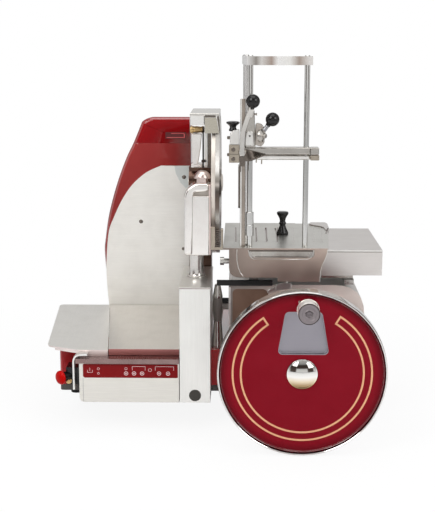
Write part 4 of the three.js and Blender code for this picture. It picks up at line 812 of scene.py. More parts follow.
@dataclass(frozen=True)
class Palette:
    """Every finish on the machine."""

    red: Finish = Enamel("red_enamel", tone(162, 44, 45), 0.08, specular=0.12, deep=tone(146, 32, 35))
    # The cover's body and lid are one enamel: the body's lighter red, darkening away from its upper right
    # corner, and the lid's darker red are painted light and shade.
    cover_red: Finish = RimShadedEnamel("cover_enamel", tone(158, 56, 54), 0.08, specular=0.12,
                                     deep=tone(148, 47, 46), centre=(-74, 0, 566), start=70, end=240,
                                     dark=0.68)
    lid_red: Finish = Enamel("lid_enamel", tone(141, 17, 22), 0.06, specular=0.12, deep=tone(131, 11, 16))
    # The wheel's enamel grows darker towards the rim: painted shade.
    wheel_red: Finish = RimShadedEnamel("wheel_enamel", tone(126, 18, 32), 0.12, specular=0.05,
                                     deep=tone(117, 12, 26))
    column: Finish = Brushed("column_sheet", tone(232, 231, 227), 0.34, grain=Z, depth=0.35)
    box_sheet: Finish = Brushed("box_sheet", tone(224, 221, 214), 0.36, grain=X, depth=0.5)
    # The trays' fronts carry painted reflection of the red paint round them.
    inner_tray: Finish = FrontShaded("inner_tray_aluminium", tone(212, 209, 204), 0.4, grain=Y, depth=0.4,
                                 smudge=0.8, shaded=tone(188, 126, 122))
    outer_tray: Finish = FrontShaded("outer_tray_aluminium", tone(240, 238, 233), 0.42, grain=Y, depth=0.4,
                                 smudge=0.8, shaded=tone(228, 216, 212))
    deflector: Finish = Brushed("deflector_sheet", tone(236, 233, 227), 0.4, grain=X, depth=0.3, smudge=0.9)
    # The table's apron carries painted reflection and painted shade that deepens towards the left.
    table: Finish = FrontShaded("table_aluminium", tone(208, 206, 200), 0.34, grain=Y, depth=0.5, smudge=0.8,
                            shaded=tone(196, 178, 167), edge=0.6, dim=(30, 130))
    carriage: Finish = Brushed("carriage_aluminium", tone(216, 211, 207), 0.3, grain=X, depth=0.4)
    cover_sheet: Finish = Brushed("cover_sheet", tone(244, 242, 238), 0.2, grain=X, depth=0.25, smudge=0.3)
    fence: Finish = Brushed("fence_sheet", tone(196, 193, 186), 0.3, grain=Y, depth=0.6)
    casting: Finish = Polished("polished_casting", tone(206, 199, 190), 0.17, wave=0.5,
                               stain=tone(150, 132, 118))
    dark_casting: Finish = Polished("dim_casting", tone(104, 82, 72), 0.22, wave=0.5, stain=tone(66, 48, 40))
    # The housing's front carries painted reflection and painted shade that deepens towards the left.
    housing: Finish = FrontShaded("housing_casting", tone(222, 216, 210), 0.3, 0.45, grain=X, depth=0.2,
                              smudge=0.7, shaded=tone(232, 220, 212), dim=(20, 125), dimmest=0.22)
    post: Finish = Polished("post_casting", tone(240, 236, 232), 0.2, wave=0.4, stain=tone(222, 214, 208))
    roof: Finish = Brushed("roof_sheet", tone(216, 213, 207), 0.22, grain=X, depth=0.25, smudge=0.3)
    guide: Finish = Polished("guide_steel", tone(166, 156, 146), 0.22, wave=0.2, stain=tone(104, 92, 82))
    pink_jaw: Finish = Polished("clamp_casting", tone(184, 176, 168), 0.3, wave=0.2,
                                stain=tone(142, 128, 118))
    dark_steel: Finish = Polished("dark_steel", tone(70, 62, 58), 0.24, wave=0.2, stain=tone(44, 38, 34))
    roof_plate: Finish = Brushed("roof_plate_sheet", tone(196, 190, 176), 0.26, grain=X, depth=0.25,
                                 smudge=0.5)
    housing_panel: Finish = Polished("housing_panel_casting", tone(116, 92, 78), 0.3, 0.25, wave=0.4,
                                     stain=tone(84, 64, 52))
    pink_cap: Finish = Polished("cap_steel", tone(226, 208, 202), 0.3, wave=0.05, marks=0.2,
                                stain=tone(206, 184, 177))
    pivot: Finish = Polished("pivot_chrome", tone(236, 232, 226), 0.1, wave=0.08, marks=0.3,
                             stain=tone(206, 198, 190))
    steel: Finish = Polished("bright_steel", tone(200, 198, 194), 0.2, wave=0.2, stain=tone(150, 144, 136))
    gear: Finish = Polished("gear_steel", tone(132, 130, 128), 0.34, wave=0.2, stain=tone(86, 80, 74))
    arm: Finish = Polished("arm_steel", tone(186, 182, 176), 0.2, wave=0.3, stain=tone(138, 128, 118))
    arm_dim: Finish = Polished("arm_shaded_steel", tone(118, 110, 103), 0.26, wave=0.4,
                               stain=tone(82, 72, 64))
    jaw: Finish = Polished("jaw_steel", tone(176, 166, 152), 0.28, wave=0.3, stain=tone(120, 108, 94))
    jaw_light: Finish = Polished("jaw_light_steel", tone(228, 226, 222), 0.3, wave=0.05, marks=0.2,
                                 stain=tone(206, 202, 196))
    pocket: Finish = Brushed("pocket_sheet", tone(152, 149, 156), 0.42, grain=X, depth=0.15, smudge=0.3)
    brass: Finish = Polished("brass", tone(112, 105, 96), 0.3, 0.6, wave=0.1, stain=tone(78, 70, 62))
    black: Finish = Moulded("black_plastic", tone(16, 15, 15), 0.14, specular=0.35)
    rubber: Finish = Moulded("rubber", tone(34, 33, 32), 0.6, specular=0.3, skin=0.9)
    dark: Finish = Moulded("dark_paint", tone(66, 62, 58), 0.42, specular=0.4, skin=1.2)
    plug: Finish = Moulded("plug_plastic", tone(60, 58, 53), 0.5, specular=0.3)
    stop: Finish = Enamel("stop_enamel", tone(176, 5, 3), 0.3, specular=0.05, deep=tone(164, 4, 2),
                          glaze=0.05)
    panel: Finish = Enamel("panel_enamel", tone(124, 16, 20), 0.2, specular=0.1, deep=tone(114, 12, 16))
    line: Finish = Moulded("gold_line", tone(214, 160, 122), 0.4, specular=0.12)
    print_white: Finish = Moulded("key_print", tone(226, 196, 196), 0.4, specular=0.2)
    hood: Finish = Polished("hood_steel", tone(142, 120, 117), 0.24, wave=0.3, stain=tone(108, 86, 84))
    # The top bar's dim and bright bands along X are painted reflections.
    top_steel: Finish = ReflectionBanded("top_bar_steel", tone(222, 222, 222), 0.2, along=X, stops=(
        (40, tone(206, 206, 206)), (64, tone(226, 224, 222)), (84, tone(150, 144, 138)),
        (96, tone(214, 210, 206)), (118, tone(170, 154, 144)), (132, tone(242, 240, 238)),
        (158, tone(236, 234, 230)), (178, tone(168, 154, 144)), (200, tone(226, 222, 218))))
    # The guard ring and the blade carry painted reflections in bands by height.
    guard: Finish = ReflectionBanded("guard_ring_steel", tone(226, 220, 212), 0.3, 0.35, side=-5.5, stops=PAINTED_REFLECTION_BANDS)
    blade: Finish = ReflectionBanded("blade_face_steel", tone(190, 184, 178), 0.3, 0.15, stops=PAINTED_REFLECTION_BANDS)
    guard_face: Finish = Polished("guard_face_steel", tone(224, 216, 206), 0.3, 0.35, wave=0.05,
                                  stain=tone(206, 194, 182))
    strap: Finish = Polished("strap_steel", tone(222, 219, 214), 0.14, wave=0.1, stain=tone(170, 160, 150))
    hinge_sheet: Finish = Brushed("hinge_sheet", tone(208, 211, 208), 0.4, grain=X, depth=0.3)
    # The lug's dark red is painted shade in its recess, and the light red is painted highlight.
    lug: Finish = Brushed("lug_shaded_enamel", tone(84, 2, 6), 0.5, 0.0, depth=0.1)
    lug_painted_highlight: Finish = Brushed("lug_painted_highlight", tone(214, 92, 92), 0.5, 0.0, depth=0.1)
    grindstone: Finish = Moulded("grindstone", tone(120, 112, 104), 0.85, specular=0.1, skin=0.5)
    # The hub cap's gold, white and dark bands are painted reflections.
    cap_dome: Finish = ReflectionBanded("cap_chrome", tone(220, 218, 214), 0.05, stops=(
        (93, tone(112, 90, 60)), (103, tone(190, 166, 126)), (112, tone(232, 218, 190)),
        (122, tone(240, 238, 234)), (134, tone(208, 206, 202)), (148, tone(140, 138, 134)),
        (159, tone(212, 210, 206))))


PAINTS = Palette()


@dataclass
class Assembly:
    """A group of pieces that belong together on the machine."""

    def build(self) -> None:
        """Builds and dresses the group's pieces."""
        raise NotImplementedError


@dataclass
class Wheel(Assembly):
    """The hand wheel with its line, cap, handle pocket and folding grip.

    Attributes:
        centre: The wheel's axis, as its place in X and Z.
        radius: Outer radius.
        rim: Inner radius of the bright rim.
        front: Place of the rim's front in Y.
        back: Place of the rim's back.
        face: Place of the disc's front.
        disc_back: Place of the disc's back.
        line_band: Inner and outer radius of the band that the line runs round.
        line_width: Width of the line.
        line_ends: Where the lines end, in degrees from the top.
        grip_centre: The grip's axis, as its place in X and Z.
        pocket_low: Height of the pocket's lower edge.
        pocket_high: Height of its upper edge.
        pocket_back: Place of its back in Y.
    """

    centre: Point2 = (183, 126)
    radius: float = 180
    rim: float = 170
    front: float = -405
    back: float = -365
    face: float = -397
    disc_back: float = -391
    line_band: Point2 = (127.8, 149)
    line_width: float = 3.9
    line_ends: Point2 = (-33.6, 31.2)
    grip_centre: Point2 = (191, 275)
    pocket_low: float = 168
    pocket_high: float = 261
    pocket_back: float = -386

    def build(self) -> None:
        """Builds the wheel, then its handle."""
        axis, place = Y, self.centre
        r, rim, front, back, face = self.radius, self.rim, self.front, self.back, self.face
        middle = (place[0], 0, place[1])
        disc = Shape().turn(axis, place, [
            (11.3, face), (168.6, face), (170.2, face - 0.5), (171.2, face - 2), (171.8, face - 3.4),
            (172.6, face - 4), (173.4, face - 3.6), (173.9, face - 2.4), (174, face + 1.6),
            (176.2, face + 1.6), (176.2, self.disc_back), (30, self.disc_back), (30, back), (11.3, back),
        ], 192, ring=True)
        disc.carve(Shape().slab(axis, self.pocket(0), face - 3, self.disc_back + 3))
        disc.finish("wheel_disc", "wheel", PAINTS.wheel_red, "red", "flywheel")
        Shape().turn(axis, place, [
            (rim, self.disc_back), (175.8, self.disc_back - 0.5), (175.8, front + 2.6), (176.2, front + 1),
            (177.2, front + 0.1), (178.4, front + 0.3), (179.4, front + 1.6), (r, front + 4), (r, back - 5),
            (r - 0.8, back - 1.4), (r - 3, back), (rim + 2, back), (rim, back - 2),
        ], 192, ring=True).finish(
            "wheel_rim", "wheel",
            Turned("wheel_rim_steel", tone(226, 223, 220), 0.09, axis=axis, centre=middle), "red", "flywheel")
        self.line().finish("wheel_line", "wheel", PAINTS.line, "red", "flywheel")
        Shape().turn(axis, place, [
            (0, -13), (4, -12.9), (9, -12.4), (15, -11.2), (21, -9), (26, -6.2), (29.6, -3.4), (30.4, -2.9),
            (31.8, -3), (32.7, -2.3), (33, -1), (33, 0), (0, 0),
        ], base=face - GAP).finish("hub_cap_dome", "wheel", PAINTS.cap_dome, "chrome", "hub_cap", smooth=60)
        sheet = Shape().slab(axis, self.pocket(0.1), face + 0.2, self.pocket_back)
        sheet.carve(Shape().slab(axis, self.pocket(-1.4), face - 3, self.pocket_back - 2.5, 2, 3))
        sheet.finish("pocket_sheet", "wheel", PAINTS.pocket, "cast", "handle_pocket", smooth=50)
        x, z = self.grip_centre
        ears = Shape().block((x - 17.4, face - 1.4, z - 9), (x + 17.4, face, z + 10), 0.4)
        for side in (-1, 1):
            low, high = sorted((x + side * 12, x + side * 17))
            ears.slab(X, [(-421, z - 8, 5), (-421, z + 8, 5), (face - 0.3, z + 8), (face - 0.3, z - 8)], low,
                      high, 0.6)
        ears.finish("hinge_ears", "wheel", PAINTS.pivot, "cast", "handle_pocket")
        self.handle()

    def pocket(self, grow: float) -> list[Corner]:
        """Gives the pocket's outline.

        Args:
            grow: How much wider it is than the opening in the disc.

        Returns:
            Its corners in X and Z, with their rounding.
        """
        x, low, high = self.centre[0] + 1.6, self.pocket_low - grow, self.pocket_high + grow
        wide, narrow = 54.5 + grow, 38.5 + grow
        return [(x - wide, low, 11), (x + wide, low, 11), (x + narrow, high, 8), (x - narrow, high, 8)]

    def line(self) -> Shape:
        """Makes the gold line that runs out, round and back along a band that is open at the top."""
        whole = bmesh.new()
        start = radians(90 - self.line_ends[1])
        turn = 2 * pi - radians(self.line_ends[1] - self.line_ends[0])
        x, z = self.centre
        verts = [whole.verts.new((x + radius * cos(start), self.face - 0.3, z + radius * sin(start)))
                 for radius in self.line_band]
        edge = whole.edges.new(verts)
        bmesh.ops.spin(whole, geom=[*verts, edge], cent=(x, 0, z), axis=(0, 1, 0), dvec=(0, 0, 0), angle=turn,
                       steps=220, use_merge=False, use_duplicate=False)
        band = whole.faces[:]
        bmesh.ops.inset_region(whole, faces=band, use_boundary=True, use_even_offset=True,
                               thickness=self.line_width)
        bmesh.ops.delete(whole, geom=band, context="FACES")
        made = bmesh.ops.extrude_face_region(whole, geom=whole.faces[:])
        moved = [item for item in made["geom"] if isinstance(item, bmesh.types.BMVert)]
        bmesh.ops.translate(whole, verts=moved, vec=(0, 0.28, 0))
        return Shape().join(whole)

    def handle(self) -> None:
        """Builds the grip, its dull front and the hinge that it folds on."""
        x, z = self.grip_centre
        middle = (x, 0, z)
        low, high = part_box("crank_grip")
        near, far = low[1] / MM, high[1] / MM
        Shape().turn(Y, (x, z), [
            (7.3, near + 1.5), (21.4, near + 1.5), (21.9, near + 1.2), (22.2, near + 1.6), (22.5, near + 2.6),
            (22.5, near + 5), (21.4, near + 5.8), (21.2, near + 7.2), (22, near + 8), (22.5, near + 9),
            (22.5, far - 5), (22.2, far - 2), (21, far - 0.4), (20, far), (7.3, far),
        ], ring=True).finish("grip_sleeve", "grip", Turned(
            "grip_steel", tone(238, 232, 226), 0.22, 0.55, axis=Y, centre=middle, pitch=0.9, depth=0.4,
        ), "chrome", "crank_grip")
        Shape().turn(Y, (x, z), [
            (7.4, 0.7), (8.2, 0.2), (9, 0.7), (13.6, 0.7), (14.2, 0.2), (19.6, 0), (20.4, 0.2), (20.8, 1.5),
            (7.4, 1.5),
        ], ring=True, base=near).finish("grip_front", "grip", Turned(
            "grip_front_steel", tone(140, 132, 134), 0.36, centre=middle, pitch=0.8, depth=0.8,
        ), "chrome", "crank_grip")
        Shape().turn(Y, (x, z), [
            (20.8, 1.5), (20.9, 0.6), (21.5, 0.3), (22.1, 0.8), (22.3, 2.6), (20.8, 2.6),
        ], ring=True, base=near).finish("grip_edge", "grip", PAINTS.dark_steel, "chrome", "crank_grip")
        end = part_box("handle_pivot")[0][1] / MM
        pivot = Shape().copied("handle_pivot", 0.3)
        pivot.carve(Shape().turn(Y, (x, z), [(0, near - 3), (9, near - 3), (9, near + 1), (0, near + 1)]))
        pivot.finish("handle_hinge", "handle", PAINTS.pivot, "chrome", "handle_pivot")
        Shape().turn(Y, (x, z), [
            (0, end), (2.4, end), (3, end + 0.4), (3.6, end + 0.6), (5.4, end + 0.5), (6, end),
            (6.9, end + 0.1), (7, near + 1.6), (0, near + 1.6),
        ], 64).finish("grip_screw", "handle", Turned(
            "grip_screw_steel", tone(118, 111, 113), 0.45, centre=middle, pitch=0.8, depth=0.6,
        ), "chrome", "handle_pivot")


@dataclass
class PlainSolids(Assembly):
    """The solids that only need softer edges and their own finish."""

    rounded: dict[str, tuple[Finish, float]] = field(default_factory=lambda: {
        "base_body": (PAINTS.red, 1.6), "base_plate": (PAINTS.dark, 0.8), "column": (PAINTS.column, 0.6),
        "knife_arm": (PAINTS.dark_casting, 0.5), "guard_ring": (PAINTS.guard, 0.8),
        "guard_plate": (PAINTS.guard_face, 0.3), "shaft_tube": (PAINTS.casting, 0.8),
        "slide_housing": (PAINTS.housing, 1.2), "rail_left": (PAINTS.steel, 0.6),
        "rail_right": (PAINTS.steel, 0.6), "carriage": (PAINTS.carriage, 0.8),
        "meat_table": (PAINTS.table, 0.5), "meat_fence": (PAINTS.fence, 0.4),
        "top_bar": (PAINTS.top_steel, 0.8), "press_plate": (PAINTS.arm_dim, 0.4),
        "inner_tray": (PAINTS.inner_tray, 0.6), "outer_tray": (PAINTS.outer_tray, 0.6),
        "control_box": (PAINTS.box_sheet, 0.6), "panel_hood": (PAINTS.hood, 0.5),
        "tray_bracket": (PAINTS.column, 0.4), "stop_housing": (PAINTS.black, 0.8),
        "blade_motor": (PAINTS.dark, 1.0)})
    bare: dict[str, Finish] = field(default_factory=lambda: {
        **{f"foot_{i}": PAINTS.rubber for i in (1, 2, 3, 4)}, "drive_chain": PAINTS.gear,
        "cross_shaft": PAINTS.gear, "main_shaft": PAINTS.steel, "carriage_pinion": PAINTS.gear,
        "carriage_motor": PAINTS.dark, "rear_bearing": PAINTS.brass, "blade_bearing_left": PAINTS.gear,
        "blade_bearing_right": PAINTS.gear, "feed_screw": PAINTS.steel, "blade_shaft": PAINTS.guard_face})

    def build(self) -> None:
        """Makes the rounded copies and dresses the rest."""
        bodies = frame["record"]["behaviour"]["bodies"]
        slots = {part["node"]: part["material_slot"] for part in frame["record"]["subparts"]}
        for node, (finish, edge) in self.rounded.items():
            body = next(name for name, nodes in bodies.items() if node in nodes)
            Shape().copied(node, edge).finish(f"{node}_fine", body, finish, slots[node], node)
        for node, finish in self.bare.items():
            data = frame["nodes"][node].data
            data.materials.clear()
            data.materials.append(finish.material())


@dataclass
class Blade(Assembly):
    """The round blade.

    Attributes:
        centre: Its axis, as its place in Y and Z.
        radius: Its radius.
    """

    centre: Point2 = BLADE_AXIS
    radius: float = 160

    def build(self) -> None:
        """Builds the blade with its ground edge."""
        r = self.radius
        Shape().turn(X, self.centre, [
            (10.3, -10), (37, -10), (38.4, -9.4), (42.4, -3.6), (44, -3), (r - 16, -3), (r - 8, -6),
            (r - 3.6, -6.4), (r - 3, -6), (r - 0.2, 2.8), (r, 3.2), (r - 0.6, 3.4), (r - 6, 2.6), (r - 16, 0),
            (39.2, 0), (37.6, 0.8), (34, 4.4), (32.6, 5), (10.3, 5),
        ], 256, ring=True).finish("blade_disc", "knife", PAINTS.blade, "blade_steel", "blade")


@dataclass
class DriveCover(Assembly):
    """The red cover behind the blade, with its lid, and the bright plate in front of it.

    Attributes:
        reach: Furthest reach from the blade.
        floor: Height of the deck that it stands on.
        height: The cover's height.
        joint: Height of the lid's joint.
        front: Place of its front in Y.
        depth: Its depth.
        right: Place of its right side.
        wall: Thickness of its wall.
        fall: How far the lid's top falls towards the back.
        rounding: Rounding of its front and back edges.
        corner: Rounding of its upper left corner.
        sheet: Thickness of the plate in front.
        fold: Thickness of the plate's small hinge.
    """

    reach: float = 291
    floor: float = 113.3
    height: float = 517.5
    joint: float = 566
    front: float = 80.6
    depth: float = 158
    right: float = -74
    wall: float = 3.4
    fall: float = 12
    rounding: float = 13
    corner: float = 16
    sheet: float = 3
    fold: float = 1.3
    side: tuple[Point2, ...] = ((0.93, 0), (0.962, 0.087), (0.989, 0.254), (1, 0.353), (0.99, 0.408),
                                (0.963, 0.508), (0.921, 0.604), (0.864, 0.706), (0.794, 0.807),
                                (0.732, 0.878), (0.66, 0.976))
    plate: tuple[Point2, ...] = ((0.931, 0), (0.962, 0.08), (0.981, 0.22), (0.976, 0.333), (0.954, 0.45),
                                 (0.909, 0.518), (0.841, 0.598), (0.751, 0.673), (0.629, 0.734), (0.5, 0.768))

    def flowing(self, shares: tuple[Point2, ...], steps: int = 5) -> list[Corner]:
        """Draws a flowing line through the points of an outline.

        Args:
            shares: The points, as shares of the reach and of the height.
            steps: Steps from point to point.

        Returns:
            The line's points, in X and Z.
        """
        points = [Vector((-out * self.reach, self.floor + rise * self.height)) for out, rise in shares]
        line: list[Corner] = []
        for i, (here, there) in enumerate(zip(points, points[1:])):
            before = points[max(0, i - 1)]
            after = points[min(len(points) - 1, i + 2)]
            bend = interpolate_bezier(here, here + (there - before) / 6, there - (after - here) / 6, there,
                                      steps + 1)
            line.extend((p.x, p.y) for p in bend[:-1])
        line.append((points[-1].x, points[-1].y))
        return line

    def shell(self, keep_top: bool) -> Shape:
        """Makes the lid or the body as an open shell.

        Args:
            keep_top: True for the lid.

        Returns:
            The open shell.
        """
        line = self.flowing(self.side)
        top = self.floor + self.height
        under = self.floor - 40
        past = self.right + 20
        outline = [(line[0][0], under), *line, (line[-1][0] + 14, top, self.corner), (past, top),
                   (past, under)]
        shape = Shape().slab(Y, outline, self.front, self.front + self.depth, self.rounding, 8, 60,
                             clamp=False)
        if keep_top:
            for vert in shape.mesh.verts:
                high = max(0.0, vert.co.z - self.joint) / (top - self.joint)
                vert.co.z -= self.fall * high * (vert.co.y - self.front) / self.depth
        cuts = [((self.right, 0, 0), (1, 0, 0))]
        if keep_top:
            cuts.append(((0, 0, self.joint + GAP), (0, 0, -1)))
        else:
            cuts += [((0, 0, self.joint), (0, 0, 1)), ((0, 0, self.floor), (0, 0, -1))]
        for place, way in cuts:
            mesh = shape.mesh
            bmesh.ops.bisect_plane(mesh, geom=mesh.verts[:] + mesh.edges[:] + mesh.faces[:], plane_co=place,
                                   plane_no=way, clear_outer=True)
            if way[0]:
                rim = [e for e in mesh.edges if len(e.link_faces) == 1]
                bmesh.ops.contextual_create(mesh, geom=rim)
        return shape

    def build(self) -> None:
        """Builds the cover, its lid and the plate in front."""
        self.shell(False).finish("cover_body", "frame", PAINTS.cover_red, "red", "drive_cover",
                                 wall=self.wall)
        self.shell(True).finish("cover_lid", "lid", PAINTS.lid_red, "red", "cover_cap", wall=self.wall)
        line = self.flowing(self.plate)
        top = line[-1][1]
        outline = [*line, (self.right, top), (self.right, self.floor)]
        plate_back = self.front - GAP
        plate_front = plate_back - self.sheet
        hinge_front = plate_front - self.fold
        plate = Shape().slab(Y, outline, plate_front, plate_back, 0.5, 2, 50)
        plate.finish("deflector_sheet", "frame", PAINTS.deflector, "brushed", "deflector_plate")
        hinge = [(self.right, 447), (self.right, top - 0.6), (-112, top - 0.6), (-109, 492), (-98, 470),
                 (-84, 455)]
        Shape().slab(Y, hinge, hinge_front, plate_front, 0.4, 2, 50).finish(
            "hinge_plate", "frame", PAINTS.hinge_sheet, "brushed")
        screws = Shape()
        for x, z, radius in ((-88.6, 482.8, 5), (-196.7, 370.8, 5), (-91.4, 302.1, 4)):
            face = hinge_front if z > hinge[0][1] else plate_front
            screws.turn(Y, (x, z), [
                (0, -1.9), (radius * 0.45, -1.8), (radius * 0.5, -1), (radius * 0.62, -1),
                (radius * 0.7, -1.6), (radius * 0.9, -1.1), (radius, -0.3), (radius, 0), (0, 0),
            ], 32, base=face)
        screws.finish("plate_screws", "frame", PAINTS.arm_dim, "chrome")
        # The lug is painted dark red as shade in its recess.
        lug = Shape().block((-134, self.front - 0.7, 577), (-83, self.front + 0.4, 593), 0.3)
        lug.carve(Shape().block((-131.6, self.front - 2, 579.4), (-85.4, self.front - 0.2, 590.6)))
        lug.finish("lid_lug", "lid", PAINTS.lug, "red", smooth=40)
        # These light strips are painted highlights along the lug's edges.
        glint = Shape()
        for low, high in (((-131, 579.4), (-86, 580.8)), ((-120, 589.4), (-88, 590.6)),
                          ((-88.4, 581), (-86.4, 589))):
            glint.block((low[0], self.front - 0.8, low[1]), (high[0], self.front, high[1]), 0.1, 1)
        glint.finish("lid_lug_glint", "lid", PAINTS.lug_painted_highlight, "red", smooth=40)


@dataclass
class GuardPost(Assembly):
    """The polished post in front of the blade, its foot and its cap.

    Attributes:
        left: Place of its left side.
        right: Place of its right side.
        front: Place of its front in Y.
        back: Place of its back.
        bottom: Height of its foot.
        top: Height of its top.
        bar: Width of its rounded border.
        strip: Width of the strip of painted shade down its right side.
        cap: Place of its cap in X.
    """

    left: float = -77
    right: float = -16
    front: float = -162
    back: float = -114
    bottom: float = 332.6
    top: float = 498.4
    bar: float = 20
    strip: float = 4
    cap: float = -36

    def build(self) -> None:
        """Builds the post, its panel, its foot and its cap."""
        left, right, bar, top, front, back = self.left, self.right, self.bar, self.top, self.front, self.back
        edge = right - self.strip
        border = [(left, self.bottom), (left, top, 34), (edge, top), (edge, top - bar + 1),
                  (left + bar + 2, top - bar - 1, 7), (left + bar, self.bottom)]
        shape = Shape().slab(Y, border, front, back, 6.5, 6, 25)
        shape.slab(Y, [
            (left + bar - 4, self.bottom), (left + bar - 4, top - bar - 9), (edge, top - bar - 9),
            (edge, self.bottom),
        ], front + 2.6, back, 2.4, 4)
        shape.finish("post_casting", "frame", PAINTS.post, "cast", "guard_post", smooth=45)
        # A dimmer strip down the post's right side is painted shade.
        Shape().block((edge - 1, front + 7, self.bottom), (right, back, top - 3), 1.4).finish(
            "post_side", "frame", PAINTS.pink_cap, "cast", "guard_post")
        # A brownish block behind the arch is painted shadow under it.
        Shape().block((left + bar - 6, front + 16, top - bar - 14), (edge, back, top - 6)).finish(
            "post_arch_shadow", "frame", PAINTS.pink_jaw, "cast", "guard_post")
        gate = Shape().block((right - 0.6, -158, 345), (12.2, -146, 351.6), 1.2)
        gate.slab(X, [(-158, 350), (-158, 398, 4), (-148, 398, 4), (-146, 350)], right, -6, 1.2)
        gate.slab(X, [(-157, 350), (-157, 392, 4), (-149, 396, 4), (-147, 350)], 7, 12.2, 1.2)
        gate.finish("blade_gate", "frame", PAINTS.jaw, "cast")
        screw = Shape()
        for i in range(9):
            screw.block((-5.6, -156, 354 + i * 4.4), (6.6, -150, 356 + i * 4.4), 0.5)
        screw.finish("blade_gate_teeth", "frame", PAINTS.arm_dim, "cast")
        x, y = self.cap, (front + back) / 2
        cap = Shape()
        cap.slab(Z, hexagon(13, 12, (x, y)), top - 1, top + 9.6, 0.8)
        cap.turn(Z, (x, y), [
            (0, 9.2), (17.6, 9.2), (18.8, 10), (19, 11.4), (18.4, 15), (16.4, 19.4), (13, 23.2), (9, 25.8),
            (4.6, 27.2), (0, 27.6),
        ], 72, base=top)
        cap.finish("post_cap", "frame", PAINTS.pink_cap, "chrome", "guard_post", smooth=40)
        foot_x, foot_y, low = -49.5, -138, 279.3
        Shape().turn(Z, (foot_x, foot_y), [
            (0, 0), (21.4, 0), (22, 0.6), (22, 3.6), (21.4, 4.2), (19.4, 4.4), (18.4, 6), (17.4, 9.5),
            (16.6, 14), (16.1, 20), (16, 30), (16.2, 51), (15.6, 53), (0, 53),
        ], 72, base=low).finish("post_foot", "frame", Turned(
            "post_foot_steel", tone(216, 212, 208), 0.24, axis=Z, centre=(foot_x, foot_y, 0), pitch=1.4,
            depth=0.3,
        ), "chrome", "pedestal", smooth=40)
        Shape().turn(X, BLADE_AXIS, [
            (150.2, -15.7), (152.7, -15.7), (153.2, -15.2), (153.2, -6.2), (152.7, -5.6), (150.2, -5.6),
        ], 192, ring=True).finish("guard_band", "frame", PAINTS.guard_face, "cast", smooth=40)
        Shape().block((-84, -256.3, 276), (-15, -255.9, 277.6), 0.1).finish(
            "column_lip", "frame", PAINTS.hood, "brushed")
        plug = Shape().turn(
            Y, (-49.6, 29.2),
            [(0, -256), (10.6, -256), (11.6, -255.9), (13.4, -255.6), (13.6, -255.2), (0, -255.2)], 64)
        plug.finish("column_plug", "frame", PAINTS.plug, "black")


